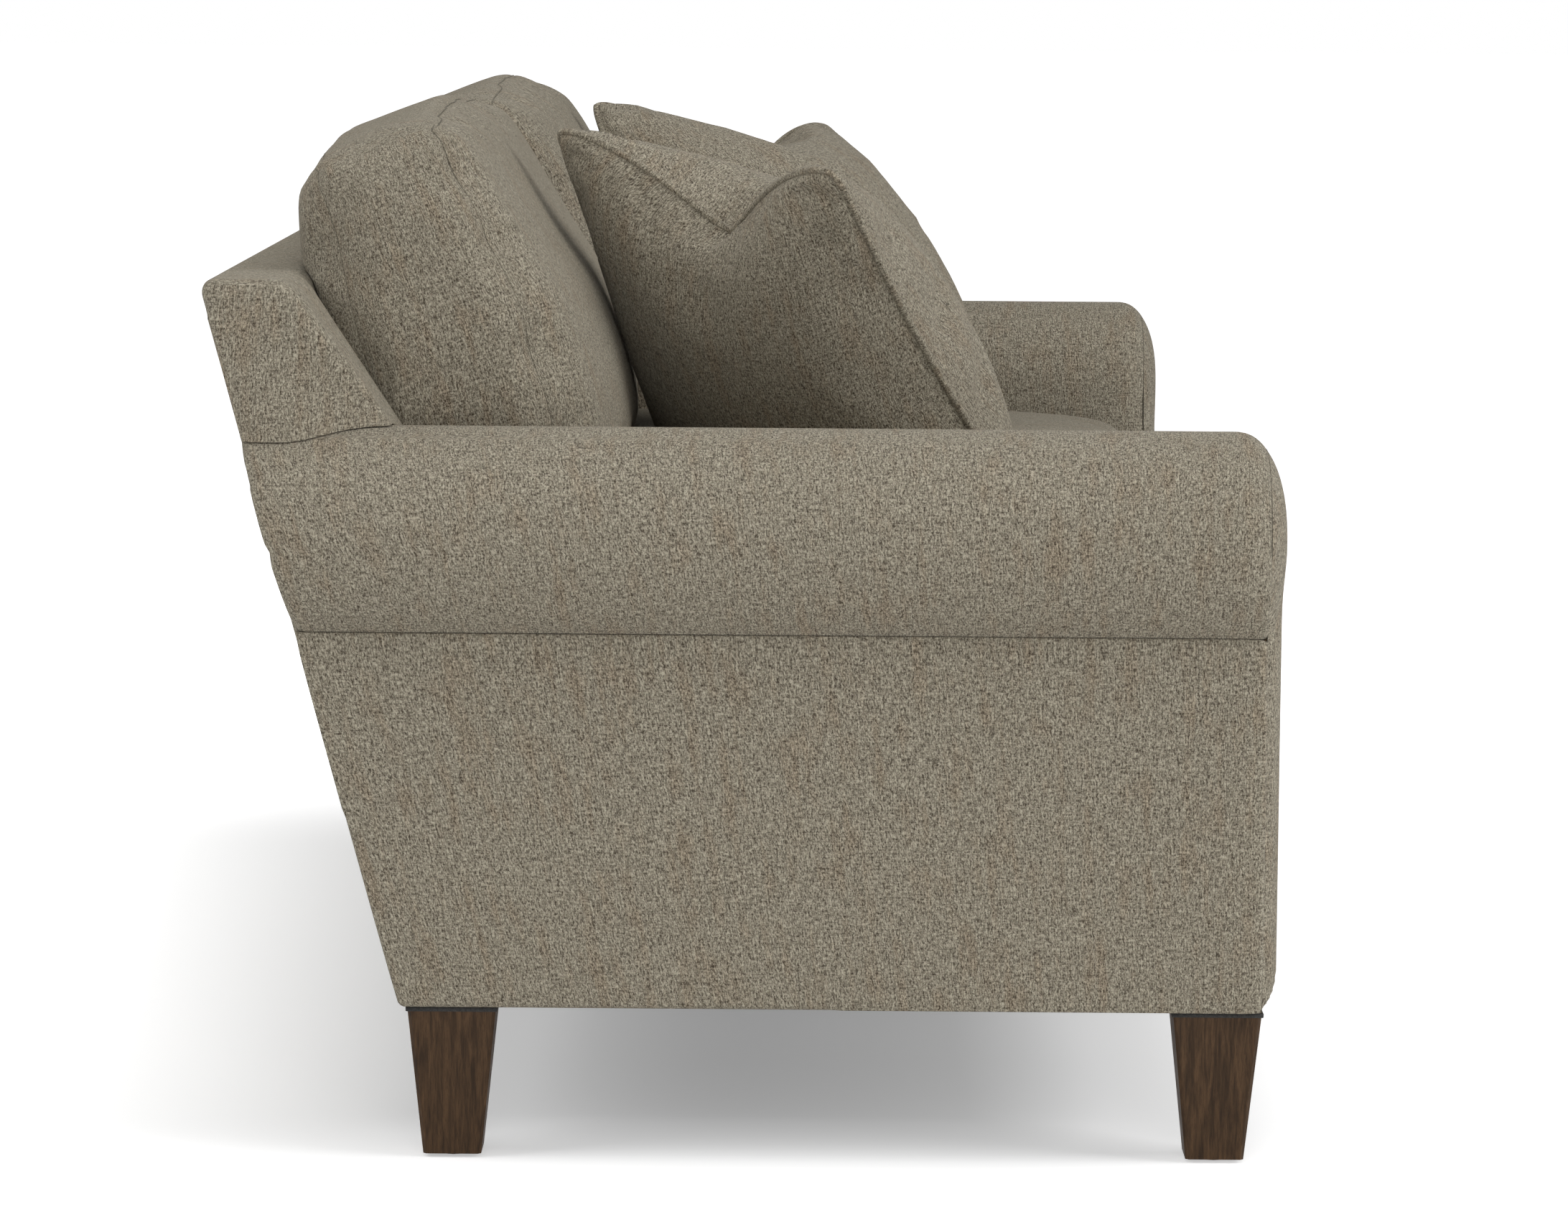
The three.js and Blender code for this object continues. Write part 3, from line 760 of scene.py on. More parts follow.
dress(deck_band, "frame", fill=0.9)
dress(deck_cloth, "frame", "seat_deck", slot="lining", fill=0.9)
under_cloth = dress(dust_cover(), "frame", "dust_cover", slot="lining")
# A thin black band at the top of each leg, painted shade of the gap below the upholstery.
for side in SIDES:
    for end in ("front", "rear"):
        dress(leg_shade_band(f"leg_felt_{end}_{side}", f"leg_{end}_{side}"), "frame", slot="lining")


# Loose cushions

# Frames for which a filled cloth settles
CLOTH_FRAMES = 20


def cloth_relaxed(piece, pressure, cap, growth, pinned=()):
    """Fills a closed cloth with air, lets it settle and keeps the shape, with each move capped.

    pinned lists the points that stay where they are.
    """
    before = points_of(piece)
    modifier = piece.modifiers.new("filling", "CLOTH")
    settings = modifier.settings
    settings.quality = 6
    settings.mass = 0.3
    settings.tension_stiffness = settings.compression_stiffness = 20
    settings.shear_stiffness = 8
    settings.bending_stiffness = 0.5
    settings.air_damping = 2
    settings.use_pressure = True
    settings.uniform_pressure_force = pressure
    settings.shrink_min = -growth
    settings.effector_weights.gravity = 0
    if pinned:
        piece.vertex_groups.new(name="held").add(pinned, 1.0, "REPLACE")
        settings.vertex_group_mass = "held"
        settings.pin_stiffness = 5
    modifier.collision_settings.use_collision = False
    modifier.point_cache.frame_start = 1
    modifier.point_cache.frame_end = CLOTH_FRAMES
    scene = bpy.context.scene
    for number in range(1, CLOTH_FRAMES + 1):
        scene.frame_set(number)
    move = points_of(piece.evaluated_get(bpy.context.evaluated_depsgraph_get())) - before
    piece.modifiers.clear()
    scene.frame_set(1)
    length = np.linalg.norm(move, axis=1, keepdims=True)
    move *= np.minimum(1, cap / np.maximum(length, 1e-9))
    move_points(piece, before + move)
    piece.vertex_groups.clear()


def boxed_cushion(name, size, edge_radius, crowns, shape, fullness=4.0):
    """A boxed cushion with a crown on each face, bent and put in place by shape(points, s, t).

    s and t run from -1 to 1 across and up the cushion.
    """
    width, height, edge = size
    upper, lower = crowns

    def place(p):
        centred = p - np.array([width / 2, height / 2, edge / 2])
        s = centred[:, 0] / (width / 2)
        t = centred[:, 1] / (height / 2)
        return shape(centred, s, t)

    def puff(p, n):
        s = 2 * p[:, 0] / width - 1
        t = 2 * p[:, 1] / height - 1
        dome = ((1 - s ** 4) * (1 - np.abs(t) ** fullness)).clip(0, 1) ** 0.7
        return n[:, 2].clip(0, 1) * dome * upper + (-n[:, 2]).clip(0, 1) * dome * lower

    return soft_block(name, size, place, edge_radius, spacing=0.012, nap=1, puff=puff)


# A cushion's gap to the back or its neighbour, its width, and how far its sides bow in
CUSHION_GAP = 0.001
CUSHION_WIDTH = BAY_X - CUSHION_GAP
SIDE_BOW = 0.002


def bowed_sides(p, s, t, drawn):
    """Places across a cushion with its corners drawn in, and its sides bowed in between them."""
    return p[:, 0] - np.sign(s) * (drawn + SIDE_BOW * (1 - t ** 2) * np.abs(s) ** 8)


def seat_cushion():
    """A seat cushion, flat below and crowned above."""
    rear = inside_back_y(DECK_Z) - CUSHION_GAP
    front = FRONT_Y + 0.034
    edge = 0.138

    def shape(p, s, t):
        drawn = 0.010 * np.abs(s * t) ** 6
        x = bowed_sides(p, s, t, drawn)
        y = p[:, 1] - np.sign(t) * drawn
        return np.stack([x + BAY_X / 2, y + (rear + front) / 2, p[:, 2] + DECK_Z + 0.0003 + edge / 2], 1)

    size = (CUSHION_WIDTH, rear - front, edge)
    return boxed_cushion("seat_cushion_cover", size, edge_radius=0.022, crowns=(0.024, 0.0), shape=shape)


# Lean and middle of the back cushions
BACK_LEAN = math.radians(18)
BACK_AT = Vector((BAY_X / 2, 0.2818, 0.7072))


def back_cushion(name, crown, top_bow, fullness, tilt, sag):
    """A back cushion leaning on the inside back, thinner towards its top and sagging forward low down."""
    height, edge = 0.380, 0.163
    turn = np.array(Euler((math.pi / 2 - BACK_LEAN, 0, 0)).to_matrix())

    def shape(p, s, t):
        drawn = 0.007 * np.abs(s * t) ** 6
        x = bowed_sides(p, s, t, drawn)
        bow = np.where(t > 0, top_bow, 0.010) * (1 - s ** 2)
        y = p[:, 1] + np.sign(t) * (bow * np.abs(t) ** 2 - drawn)
        on_front = p[:, 2] > 0
        thin = 1 - 0.245 * np.clip(t, 0, 1) ** 1.2
        belly = 0.010 * (1 - t ** 2) * np.where(t > 0, 1, 1 + t)
        y = y - 0.005 * np.clip(t, 0, 1) ** 2 * smooth(0.5 - p[:, 2] / edge)
        z = p[:, 2] * thin * (1 + tilt * t * on_front) + belly
        z = z + on_front * sag * (1 - s ** 4) * smooth((0.48 - t) / 1.05)
        wave = np.sin(s * 8.3 + 0.6) + 0.6 * np.sin(s * 19.7)
        z = z + 0.0022 * wave * smooth((t - 0.7) / 0.3) * smooth(p[:, 2] / edge * 4 - 1) * (1 - s ** 8)
        return np.stack([x, y, z], 1) @ turn.T + np.array(BACK_AT)

    size = (CUSHION_WIDTH, height, edge)
    return boxed_cushion(name, size, 0.028, crowns=(crown, 0.042), shape=shape, fullness=fullness)


def kept_between(piece, low, high):
    """Widens a cushion to its bay and presses it flat where it would pass the bay's ends."""
    points = points_of(piece)
    middle = (low + high) / 2
    reach = np.abs(points[:, 0] - middle).max()
    stretch = max(1.0, (high - low) / 2 / reach)
    points[:, 0] = np.clip(middle + (points[:, 0] - middle) * stretch, low, high)
    move_points(piece, points)


def pressed_on_back(piece):
    """Presses a back cushion flat where it leans on the inside back and over the top rail."""
    points = points_of(piece)
    limit = inside_back_y(points[:, 2]) - 0.0015 + np.clip(points[:, 2] - 0.757, 0, None)
    points[:, 1] = np.minimum(points[:, 1], limit)
    move_points(piece, points)


def within(skin, point):
    """Whether a point lies inside a closed skin, by counting the skins that a line from it meets."""
    along = Vector((0.31, 0.17, 0.94))
    count = 0
    start = Vector(point)
    while count < 20:
        hit = skin.ray_cast(start, along)[0]
        if hit is None:
            break
        count += 1
        start = hit + along * 1e-5
    return count % 2 == 1


# How far a point may be from a neighbour's skin and still be pressed out of it
PRESS_REACH = 0.04


def pressed_clear(piece, *others, gap=0.001):
    """Presses a soft piece in where it would pass into its neighbours' skins."""
    points = points_of(piece)
    for other in others:
        mesh = other.data
        skin = BVHTree.FromPolygons([v.co for v in mesh.vertices], [f.vertices for f in mesh.polygons])
        for number, point in enumerate(points):
            at, normal, _, away = skin.find_nearest(Vector(point), PRESS_REACH)
            if at is None or (Vector(point) - at).dot(normal) >= gap:
                continue
            if away < gap or within(skin, point):
                points[number] = at + normal * gap
    move_points(piece, points)


# Middle, turn, lean and roll of the right-hand pillow
PILLOW_AT = Vector((0.499, -0.0198, 0.7068))
PILLOW_TURN = math.radians(44.5)
PILLOW_LEAN = math.radians(38.8)
PILLOW_ROLL = -math.radians(6.2)


def pillow_matrix():
    """Where the right-hand pillow stands and how it leans."""
    turned = Matrix.Translation(PILLOW_AT) @ Matrix.Rotation(-PILLOW_TURN, 4, "Z")
    leaning = Matrix.Rotation(math.pi / 2 - PILLOW_LEAN, 4, "X")
    return turned @ leaning @ Matrix.Rotation(PILLOW_ROLL, 4, "Z")


def pillow_points(s, t, side):
    """A point of the pillow's skin: s and t from -1 to 1 over a face, side 1 for the front face."""
    width, height, top = 0.446, 0.430, 0.358
    x = s * width / 2
    y = t * height / 2
    bow_side = -np.where(s > 0, 0.020, 0.012) * (1 - t ** 2) * np.sign(s) * np.abs(s) ** 2
    bow_bottom = 0.012 * (1 - s ** 2) * np.abs(t) ** 2
    lean_in = 1 - np.sqrt((s + 0.015) ** 2 + 0.0025) + 0.0012
    chop = -0.112 * lean_in.clip(0, 1) ** np.where(s < 0, 2.05, 1.75) * np.clip(t, 0, 1) ** 3
    corner = np.abs(s * t) ** 10
    x = x + bow_side - np.sign(s) * 0.009 * corner
    y = y + np.where(t > 0, chop, bow_bottom) - np.sign(t) * 0.007 * corner
    x = x * mix(1, top / width, y / height + 0.5)
    round_share = np.clip((1 - s ** 2) * (1 - t ** 2), 0, 1)
    crown = (0.122 if side > 0 else 0.086) * (1 - np.where(t > 0, 0.33, 0.42) * t)
    z = side * (0.003 + crown * round_share ** 0.52)
    return np.stack([x, y, z], -1)


def lengths_from_middle(skin, axis):
    """Distance over the skin from its middle line to each grid point, along one way of the grid."""
    steps = np.linalg.norm(np.diff(skin, axis=axis), axis=2)
    start = np.zeros_like(skin[:1, :, 0] if axis == 0 else skin[:, :1, 0])
    run = np.concatenate([start, np.cumsum(steps, axis=axis)], axis=axis)
    middle = run.shape[axis] // 2
    return run - np.take(run, [middle], axis=axis)


# Cells along each side of the pillow's two faces, and the points of one face
PILLOW_CELLS = 36
PILLOW_FACE = (PILLOW_CELLS + 1) ** 2


def throw_pillow():
    """A knife-edged pillow with a chopped top, from two faces sewn at the rim."""
    n = PILLOW_CELLS
    ease = np.sin(np.linspace(-1, 1, n + 1) * math.pi / 2)
    steps = mix(np.linspace(-1, 1, n + 1), ease, 0.5)
    s, t = np.meshgrid(steps, steps, indexing="ij")
    matrix = np.array(pillow_matrix())
    faces, corners = [], []
    points = []
    for side in (1, -1):
        skin = pillow_points(s, t, side)
        run_across = lengths_from_middle(skin, 0)
        run_up = lengths_from_middle(skin, 1)
        flat = skin.reshape(-1, 3)
        points.append(flat @ matrix[:3, :3].T + matrix[:3, 3])
        base, shift = (0, 0) if side == 1 else (PILLOW_FACE, 0.6)
        for ring in grid_faces(n + 1, n + 1, side == -1):
            faces.append([base + a * (n + 1) + b for a, b in ring])
            corners.extend((run_across[a, b] + shift, run_up[a, b]) for a, b in ring)
    order = [a * (n + 1) + b for a, b in grid_rim(n, n)]
    for k, a in enumerate(order):
        b = order[(k + 1) % len(order)]
        start, end = k * 0.01, k * 0.01 + 0.01
        faces.append([a, a + PILLOW_FACE, b + PILLOW_FACE, b])
        corners.extend([(start, 0), (start, 0.006), (end, 0.006), (end, 0)])
    return mesh_piece("throw_pillow_cover", np.concatenate(points), faces, corners), order


def piping(name, points, radius=0.0035, sides=8):
    """A sewn cord round a rim of points."""
    points = np.asarray(points, float)
    count = len(points)
    rings = []
    up = np.array(pillow_matrix())[:3, 2]
    for k in range(count):
        along = points[(k + 1) % count] - points[k - 1]
        along /= np.linalg.norm(along)
        out = np.cross(along, up)
        out /= np.linalg.norm(out)
        rings.append([
            points[k] + 0.0012 * out + radius * (math.cos(a) * out + math.sin(a) * up)
            for a in np.linspace(0, 2 * math.pi, sides, endpoint=False)
        ])
    rings.append(rings[0])
    return swept(name, rings, caps=False)


# Gap between a loose cushion and each end of its bay
BAY_GAP = 0.0006

seat = seat_cushion()
back_near = back_cushion(
    "back_cushion_near", crown=0.018, top_bow=0.029, fullness=1.7, tilt=-0.04, sag=0.023,
)
back_far = back_cushion(
    "back_cushion_far", crown=0.034, top_bow=0.027, fullness=4.0, tilt=0.10, sag=0.0,
)
cushions = (seat, back_near, back_far)
for cushion, cap, growth in zip(cushions, (0.010, 0.012, 0.012), (0.01, 0.02, 0.02)):
    cloth_relaxed(cushion, pressure=3.0, cap=cap, growth=growth)
for cushion, seed in zip(cushions, (1, 2, 3)):
    sewn(cushion, edge_rings[cushion.name], seed)
    kept_between(cushion, BAY_GAP, BAY_X - BAY_GAP)
pillow, rim = throw_pillow()
held = [number + face for number in rim for face in (0, PILLOW_FACE)]
cloth_relaxed(pillow, pressure=2.0, cap=0.010, growth=0.02, pinned=held)
pressed_clear(pillow, seat, gap=0.0015)
for cushion in (back_near, back_far):
    pressed_on_back(cushion)
    pressed_clear(cushion, back_shell, seat, pillow)
# Thin dark lines along both seams of each cushion, painted shade of the seam grooves.
seams = []
for cushion in cushions:
    seams.append([])
    points, normals = points_of(cushion), normals_of(cushion)
    for end, ring in enumerate(edge_rings[cushion.name]):
        radius = mix(0.0004, 0.0008, smooth((points[ring, 2] - 0.85) / 0.02))
        seams[-1].append(seam_shade_tube(f"{cushion.name}_seam_{end}", points[ring], normals[ring], radius))
both_ends(seat, "seat_cushion_{side}", "seat_cushion", fill=0.8)
for seam_shade_line in seams[0]:
    both_ends(seam_shade_line, "seat_cushion_{side}", slot="seam_shade_line")
back_left = mirrored(back_near, "back_cushion_cover_left")
bpy.data.objects.remove(back_near)
back_far.name = "back_cushion_cover_right"
dress(back_left, "back_cushion_left", "back_cushion_left", fill=0.7)
dress(back_far, "back_cushion_right", "back_cushion_right", fill=0.7)
for end, (near, far) in enumerate(zip(seams[1], seams[2])):
    dress(mirrored(near, f"back_cushion_seam_{end}_left"), "back_cushion_left", slot="seam_shade_line")
    bpy.data.objects.remove(near)
    far.name = f"back_cushion_seam_{end}_right"
    dress(far, "back_cushion_right", slot="seam_shade_line")
at = points_of(pillow)
rim_line = [(at[number] + at[number + PILLOW_FACE]) / 2 for number in rim]
welt = piping("pillow_piping", rim_line)
pressed_clear(welt, seat, gap=0.0004)
both_ends(pillow, "throw_pillow_{side}", "throw_pillow", fill=0.6)
both_ends(welt, "throw_pillow_{side}")


# Materials

def group_sockets(tree, way, **kinds):
    """The named inputs or outputs of a node group."""
    for name, kind in kinds.items():
        tree.interface.new_socket(name=name, in_out=way, socket_type="NodeSocket" + kind)


class Nodes:
    """Short words for the nodes of one tree."""

    def __init__(self, tree):
        self.tree = tree

    def feed(self, socket, value):
        """Gives an input a value, or a link from another node."""
        if isinstance(value, bpy.types.NodeSocket):
            self.tree.links.new(value, socket)
        else:
            socket.default_value = value

    def fill(self, node, inputs):
        """Gives a node its inputs, by name or number."""
        for key, value in inputs.items():
            self.feed(node.inputs[key], value)

    def add(self, kind, inputs=(), **settings):
        """A new node of a kind, with its settings and inputs."""
        node = self.tree.nodes.new("ShaderNode" + kind)
        for key, value in settings.items():
            setattr(node, key, value)
        self.fill(node, dict(inputs))
        return node

    def vector(self, operation, a, b=(0.0, 0.0, 0.0)):
        """The first output of a vector operation."""
        return self.add("VectorMath", {0: a, 1: b}, operation=operation).outputs[0]

    def maths(self, operation, a, b):
        """The output of an operation on two numbers."""
        return self.add("Math", {0: a, 1: b}, operation=operation).outputs[0]

    def blend(self, share, a, b, how="MIX"):
        """Two colours blended by a share."""
        node = self.add("Mix", data_type="RGBA", blend_type=how)
        for key, value in (("Factor", share), ("A", a), ("B", b)):
            self.feed(next(s for s in node.inputs if s.name == key and s.enabled), value)
        return next(s for s in node.outputs if s.enabled)

    def span(self, value, low, high, to_low=0.0, to_high=1.0):
        """A value moved from one range to another, and held within it."""
        return self.add("MapRange", {0: value, 1: low, 2: high, 3: to_low, 4: to_high}).outputs[0]


def tweed_group():
    """Slub yarns in three tones with faint patches, over a cloth map in metres."""
    tree = bpy.data.node_groups.new("tweed_weave", "ShaderNodeTree")
    group_sockets(tree, "INPUT", Cloth="Vector", Pale="Color", Middle="Color", Dark="Color", Patch="Color")
    group_sockets(tree, "OUTPUT", Color="Color", Height="Float")
    n = Nodes(tree)
    start = tree.nodes.new("NodeGroupInput").outputs
    end = tree.nodes.new("NodeGroupOutput").inputs
    wander = n.add(
        "TexNoise", {"Vector": start["Cloth"], "Scale": 160.0, "Detail": 1.0}, noise_dimensions="2D",
    )
    lean = n.vector("ADD", wander.outputs["Color"], (-0.5, -0.5, -0.5))
    bent = n.vector("MULTIPLY", lean, (0.0022, 0.0014, 0.0))
    cloth = n.vector("ADD", start["Cloth"], bent)

    def yarn(width, length, detail):
        stretched = n.vector("MULTIPLY", cloth, (1 / width, 1 / length, 1.0))
        noise_node = n.add(
            "TexNoise", {"Vector": stretched, "Scale": 1.0, "Detail": detail, "Roughness": 0.62},
            noise_dimensions="2D",
        )
        return noise_node.outputs[0]

    slub = yarn(0.0016, 0.0032, 2.0)
    fleck = yarn(0.0009, 0.0016, 1.0)
    warp = yarn(0.0013, 0.014, 1.0)
    weft = yarn(0.0085, 0.0014, 1.0)
    streak = yarn(0.011, 0.16, 2.0)
    cloud = yarn(0.035, 0.055, 2.0)
    mottle = yarn(0.0048, 0.0095, 1.0)
    parts = [n.maths("MULTIPLY", part, share) for part, share in (
        (slub, 0.38), (fleck, 0.26), (warp, 0.16), (weft, 0.12), (mottle, 0.08),
    )]
    total = parts[0]
    for part in parts[1:]:
        total = n.maths("ADD", total, part)
    shade = n.span(total, 0.385, 0.615)
    low = n.blend(n.span(shade, 0.0, 0.5), start["Dark"], start["Middle"])
    tone = n.blend(n.span(shade, 0.5, 1.0), low, start["Pale"])
    patches = n.maths("ADD", n.maths("MULTIPLY", streak, 0.5), n.maths("MULTIPLY", cloud, 0.5))
    brown = n.maths("MULTIPLY", n.span(patches, 0.50, 0.66), 0.42)
    tinted = n.blend(brown, tone, start["Patch"], "MULTIPLY")
    tree.links.new(tinted, end["Color"])
    tree.links.new(shade, end["Height"])
    return tree


def new_material(name):
    """A new material, short words for its nodes, and its shader."""
    material = bpy.data.materials.new(name)
    material.use_nodes = True
    return material, Nodes(material.node_tree), material.node_tree.nodes["Principled BSDF"]


def finished(material, n, shader, colour, height, bump, values):
    """The material with its colour, its bump (strength and depth) and its shader's other values."""
    strength, depth = bump
    rough = n.add("Bump", {"Height": height, "Strength": strength, "Distance": depth})
    n.fill(shader, {"Base Color": colour, "Normal": rough.outputs[0], **values})
    return material


tweed_weave = tweed_group()


def woven_material(name, tones, bump, values):
    """Cloth from the shared weave, in its pale, middle and dark tones and the tone of its patches."""
    material, n, shader = new_material(name)
    weave = n.add("Group", {
        "Cloth": n.add("UVMap", uv_map=CLOTH_MAP).outputs["UV"],
        **dict(zip(("Pale", "Middle", "Dark", "Patch"), tones)),
    }, node_tree=tweed_weave)
    return finished(material, n, shader, weave.outputs["Color"], weave.outputs["Height"], bump, values)


# Tones of the woven cloths: pale, middle and dark yarn, and the tint of the patches
TWEED_TONES = (
    (0.44, 0.403, 0.313, 1), (0.232, 0.206, 0.156, 1), (0.056, 0.044, 0.031, 1), (0.86, 0.72, 0.62, 1),
)
# The seam lines' tones, about half as bright as the tweed's: painted shade of the grooves along the seams.
SEAM_SHADE_TONES = (
    (0.22, 0.20, 0.155, 1), (0.12, 0.107, 0.08, 1), (0.04, 0.033, 0.024, 1), (0.86, 0.72, 0.62, 1),
)
LINING_TONES = (
    (0.035, 0.034, 0.032, 1), (0.022, 0.021, 0.020, 1), (0.012, 0.011, 0.010, 1), (0.9, 0.85, 0.8, 1),
)
TWEED_SURFACE = {
    "Roughness": 0.92, "Specular IOR Level": 0.2,
    "Sheen Weight": 0.12, "Sheen Roughness": 0.45, "Sheen Tint": (0.9, 0.86, 0.76, 1),
}


def wood_group():
    """Straight wood grain with pores along one axis of the object's coordinates."""
    tree = bpy.data.node_groups.new("wood_grain", "ShaderNodeTree")
    group_sockets(tree, "INPUT", Stretch="Vector", Pale="Color", Dark="Color")
    group_sockets(tree, "OUTPUT", Color="Color", Height="Float", Roughness="Float")
    n = Nodes(tree)
    start = tree.nodes.new("NodeGroupInput").outputs
    end = tree.nodes.new("NodeGroupOutput").inputs
    place = n.add("TexCoord").outputs["Object"]
    stretched = n.vector("MULTIPLY", place, start["Stretch"])
    bands = n.add("TexNoise", {
        "Vector": stretched, "Scale": 1.0, "Detail": 5.0, "Roughness": 0.62, "Distortion": 0.4,
    })
    fine = n.vector("MULTIPLY", stretched, (4.0, 4.0, 4.0))
    pores = n.add("TexNoise", {"Vector": fine, "Scale": 1.0, "Detail": 3.0, "Roughness": 0.7})
    band = n.span(bands.outputs[0], 0.35, 0.65)
    pore = n.span(pores.outputs[0], 0.40, 0.52)
    grain = n.maths("MULTIPLY", band, n.maths("ADD", n.maths("MULTIPLY", pore, 0.45), 0.55))
    tree.links.new(n.blend(grain, start["Dark"], start["Pale"]), end["Color"])
    tree.links.new(grain, end["Height"])
    tree.links.new(n.span(grain, 0.0, 1.0, 0.62, 0.42), end["Roughness"])
    return tree


wood_grain = wood_group()


def wood_material(name, pale, dark, along, gloss=0.3):
    """Wood with its grain along axis 0, 1 or 2."""
    material, n, shader = new_material(name)
    stretch = [220.0, 220.0, 220.0]
    stretch[along] = 9.0
    grain = n.add("Group", {"Stretch": stretch, "Pale": pale, "Dark": dark}, node_tree=wood_grain)
    values = {"Roughness": grain.outputs["Roughness"], "Specular IOR Level": gloss}
    bump = (0.25, 0.0004)
    return finished(material, n, shader, grain.outputs["Color"], grain.outputs["Height"], bump, values)


def speckled_material(name, pale, dark, roughness, metallic=0.0):
    """Steel or plastic with a fine uneven surface."""
    material, n, shader = new_material(name)
    place = n.add("TexCoord").outputs["Object"]
    speck = n.add("TexNoise", {"Vector": place, "Scale": 900.0, "Detail": 3.0}).outputs[0]
    values = {"Roughness": n.span(speck, 0.3, 0.7, *roughness), "Metallic": metallic}
    return finished(material, n, shader, n.blend(speck, dark, pale), speck, (0.2, 0.0002), values)


# Pale and dark tones
WALNUT_TONES = ((0.080, 0.043, 0.0195, 1), (0.024, 0.013, 0.0062, 1))
HARDWOOD_TONES = ((0.50, 0.33, 0.18, 1), (0.33, 0.20, 0.10, 1))
STEEL_TONES = ((0.34, 0.34, 0.35, 1), (0.20, 0.20, 0.21, 1))
PLASTIC_TONES = ((0.035, 0.029, 0.025, 1), (0.018, 0.015, 0.013, 1))

tweed = woven_material("grey_beige_tweed", TWEED_TONES, (0.6, 0.0009), TWEED_SURFACE)
# A darker tweed for the seam lines, painted shade of the seam grooves.
seam_shade = woven_material("tweed_seam_painted_shade", SEAM_SHADE_TONES, (0.6, 0.0009), TWEED_SURFACE)
lining = woven_material("black_lining", LINING_TONES, (0.3, 0.0004), {"Roughness": 0.9})
leg_wood = wood_material("stained_walnut", *WALNUT_TONES, along=2, gloss=0.15)
frame_wood = [
    wood_material(f"hardwood_{axis}", *HARDWOOD_TONES, along=number) for number, axis in enumerate("xyz")
]
steel = speckled_material("spring_steel", *STEEL_TONES, roughness=(0.3, 0.5), metallic=0.9)
plastic = speckled_material("glide_plastic", *PLASTIC_TONES, roughness=(0.45, 0.65))


def paint(piece, material):
    """Gives a piece one material."""
    piece.data.materials.clear()
    piece.data.materials.append(material)


for slot, material in (("upholstery", tweed), ("lining", lining), ("seam_shade_line", seam_shade)):
    for piece in dressed[slot]:
        paint(piece, material)

# The axis of the grain of each wooden part
GRAIN_AXES = {
    "front_rail": 0, "rear_rail": 0, "back_top_rail": 0, "back_lower_rail": 0, "centre_stretcher": 1,
    "back_centre_post": 2, "arm_stump": 2, "arm_board": 1, "side_rail": 1, "back_post": 2, "corner_block": 1,
}
for name, node in frame["nodes"].items():
    if name.startswith("leg_"):
        paint(node, leg_wood)
    elif name.startswith("glide_"):
        paint(node, plastic)
    elif name.startswith(("seat_spring_", "hanger_bolt_")):
        paint(node, steel)
    elif name in ("seat_deck", "dust_cover"):
        paint(node, lining)
    else:
        axis = next((axis for start, axis in GRAIN_AXES.items() if name.startswith(start)), None)
        paint(node, tweed if axis is None else frame_wood[axis])


# Floor, light and camera

def seen_directly(n):
    """1 for rays from the camera and for reflections and glass, 0 for the light on the object."""
    path = n.add("LightPath")
    seen = n.maths("MAXIMUM", path.outputs["Is Camera Ray"], path.outputs["Is Glossy Ray"])
    return n.maths("MAXIMUM", seen, path.outputs["Is Transmission Ray"])


FLOOR_REACH = 60.0

# The floor's glow: shift and half size of the box where it is weakest, its reach and two strengths
GLOW_SHIFT = (0.0, -0.05, 0.0)
GLOW_HALF = (0.8, 0.25, 0.0)
GLOW_FALL = (0.9, 0.27, 1.08)


def floor():
    """A pale floor that keeps the sofa's shadow, and turns white a little way from it."""
    mesh = bpy.data.meshes.new("studio_floor")
    corners = [(x * FLOOR_REACH, y * FLOOR_REACH, 0) for x, y in ((-1, -1), (1, -1), (1, 1), (-1, 1))]
    mesh.from_pydata(corners, [], [(0, 1, 2, 3)])
    piece = bpy.data.objects.new("studio_floor", mesh)
    bpy.context.scene.collection.objects.link(piece)
    material, n, shader = new_material("floor_white")
    n.fill(shader, {"Base Color": (0.85, 0.85, 0.85, 1), "Roughness": 1.0, "Specular IOR Level": 0.0})
    shifted = n.vector("ADD", n.add("TexCoord").outputs["Object"], GLOW_SHIFT)
    beyond = n.vector("SUBTRACT", n.vector("ABSOLUTE", shifted), GLOW_HALF)
    outside = n.vector("MAXIMUM", beyond)
    away = n.add("VectorMath", {0: outside}, operation="LENGTH").outputs["Value"]
    strength = n.maths("MULTIPLY", seen_directly(n), n.span(away, 0.0, *GLOW_FALL))
    glow = n.add("Emission", {"Color": (1, 1, 1, 1), "Strength": strength})
    both = n.add("AddShader", {0: shader.outputs[0], 1: glow.outputs[0]})
    n.feed(n.tree.nodes["Material Output"].inputs["Surface"], both.outputs[0])
    mesh.materials.append(material)


def world(ambient):
    """A white world that lights the sofa only softly."""
    made = bpy.data.worlds.new("studio")
    made.use_nodes = True
    n = Nodes(made.node_tree)
    strength = n.span(seen_directly(n), 0.0, 1.0, ambient, 1.0)
    n.fill(made.node_tree.nodes["Background"], {"Color": (1, 1, 1, 1), "Strength": strength})
    bpy.context.scene.world = made


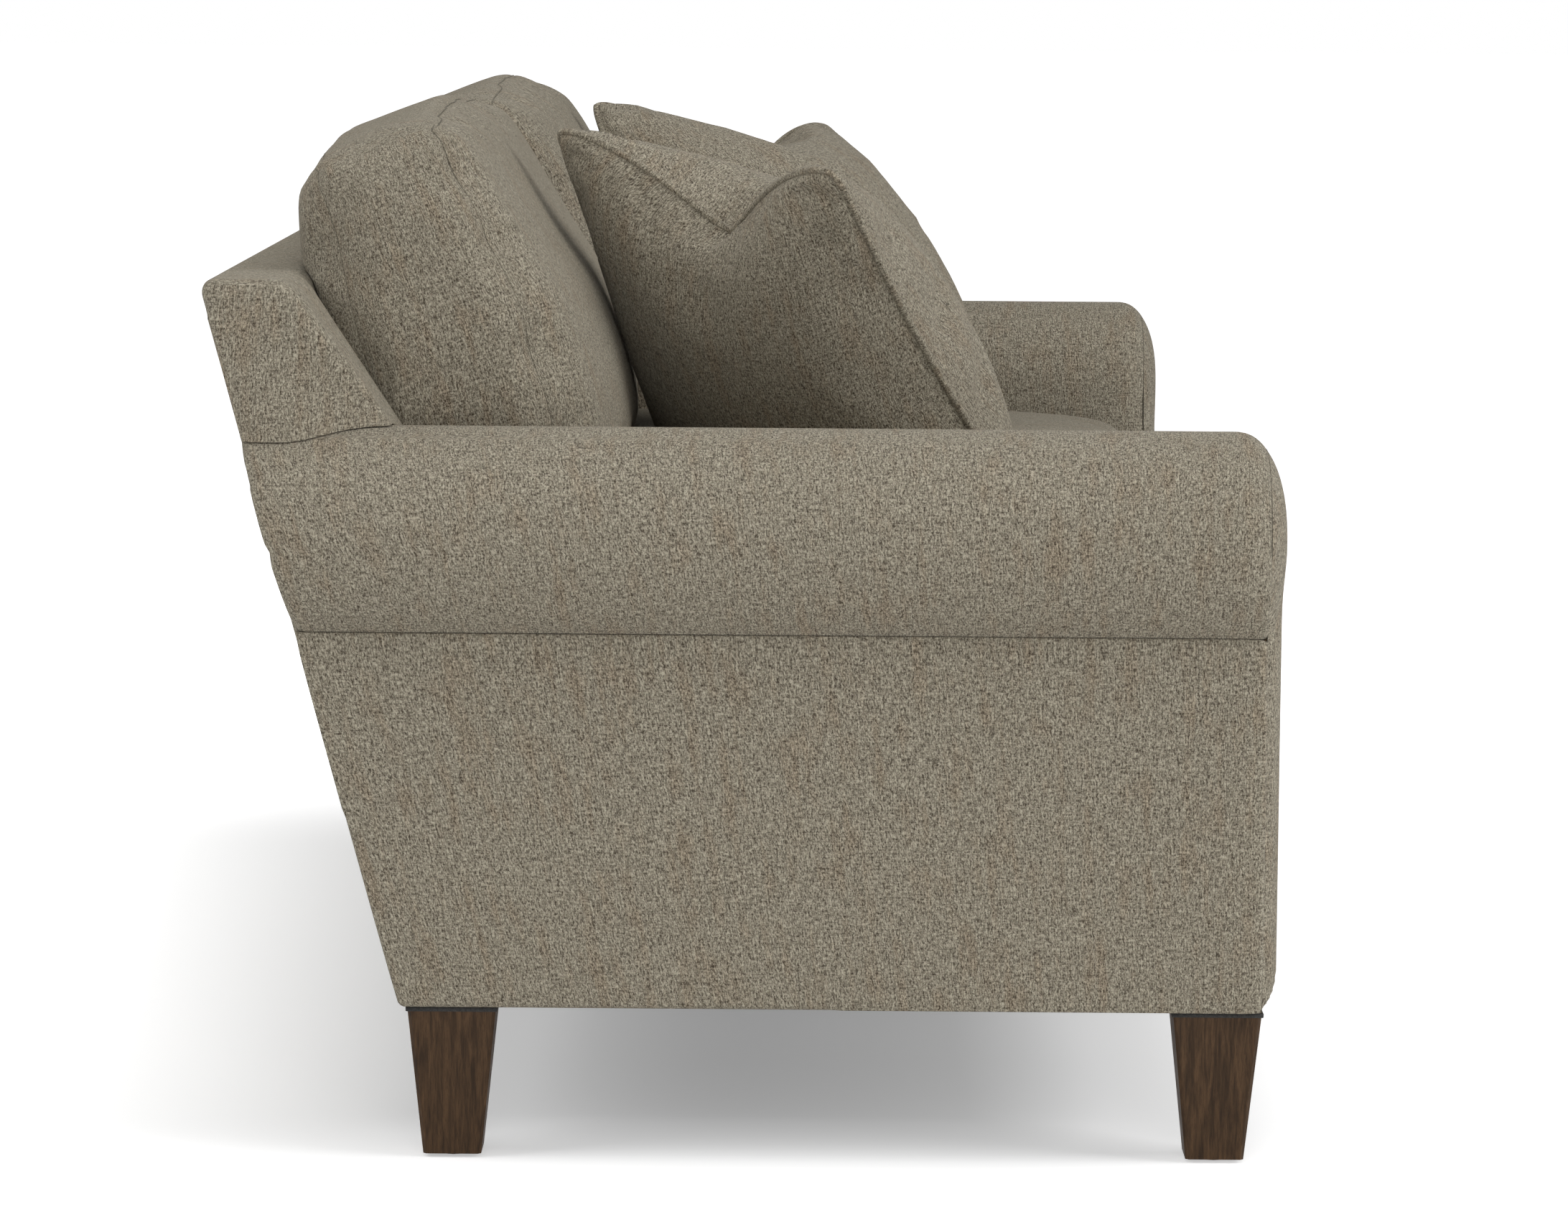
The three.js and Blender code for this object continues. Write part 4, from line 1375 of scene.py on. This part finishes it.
def softbox(name, place, target, size, power):
    """A soft lamp that points at a target."""
    light = bpy.data.lights.new(name, "AREA")
    light.shape = "RECTANGLE"
    light.size, light.size_y = size
    light.energy = power
    piece = bpy.data.objects.new(name, light)
    piece.location = place
    piece.rotation_euler = (Vector(target) - Vector(place)).to_track_quat("-Z", "Y").to_euler()
    bpy.context.scene.collection.objects.link(piece)


# Name, place, target, size and power of each lamp
LAMPS = (
    ("top_softbox", (-0.6, -0.4, 4.2), (0, 0, 0.4), (4.0, 3.2), 68),
    ("camera_softbox", (-6.2, 0.2, 2.6), (-0.6, 0, 0.5), (3.0, 2.0), 60),
    ("front_softbox", (-1.8, -4.6, 2.6), (0, 0, 0.5), (3.4, 2.4), 134),
    ("rear_softbox", (-1.8, 3.8, 3.2), (0, 0, 0.5), (3.4, 2.4), 90),
    ("low_fill", (-5.0, -0.6, 0.55), (-0.5, 0, 0.6), (2.4, 0.9), 41),
)
floor()
world(ambient=0.093)
for lamp in LAMPS:
    softbox(*lamp)

# The photograph's camera: its place, how far it looks down, aside and askew, and its lens in mm
CAMERA_AT = (-6.14, -0.0419, 1.0542)
CAMERA_PITCH = math.radians(6.264)
CAMERA_YAW = math.radians(0.131)
CAMERA_ROLL = math.radians(0.434)
CAMERA_LENS = 136.5


def camera():
    """The photograph's camera, looking along the sofa from its left end."""
    lens = bpy.data.cameras.new("camera")
    lens.sensor_width = 36
    lens.lens = CAMERA_LENS
    lens.clip_end = 200
    piece = bpy.data.objects.new("camera", lens)
    level = math.cos(CAMERA_PITCH)
    forward = Vector((level * math.cos(CAMERA_YAW), level * math.sin(CAMERA_YAW), -math.sin(CAMERA_PITCH)))
    turned = forward.to_track_quat("-Z", "Y").to_matrix().to_4x4()
    piece.matrix_world = Matrix.Translation(CAMERA_AT) @ turned @ Matrix.Rotation(CAMERA_ROLL, 4, "Z")
    bpy.context.scene.collection.objects.link(piece)
    bpy.context.scene.camera = piece


camera()
bpy.context.scene.view_settings.view_transform = "Standard"
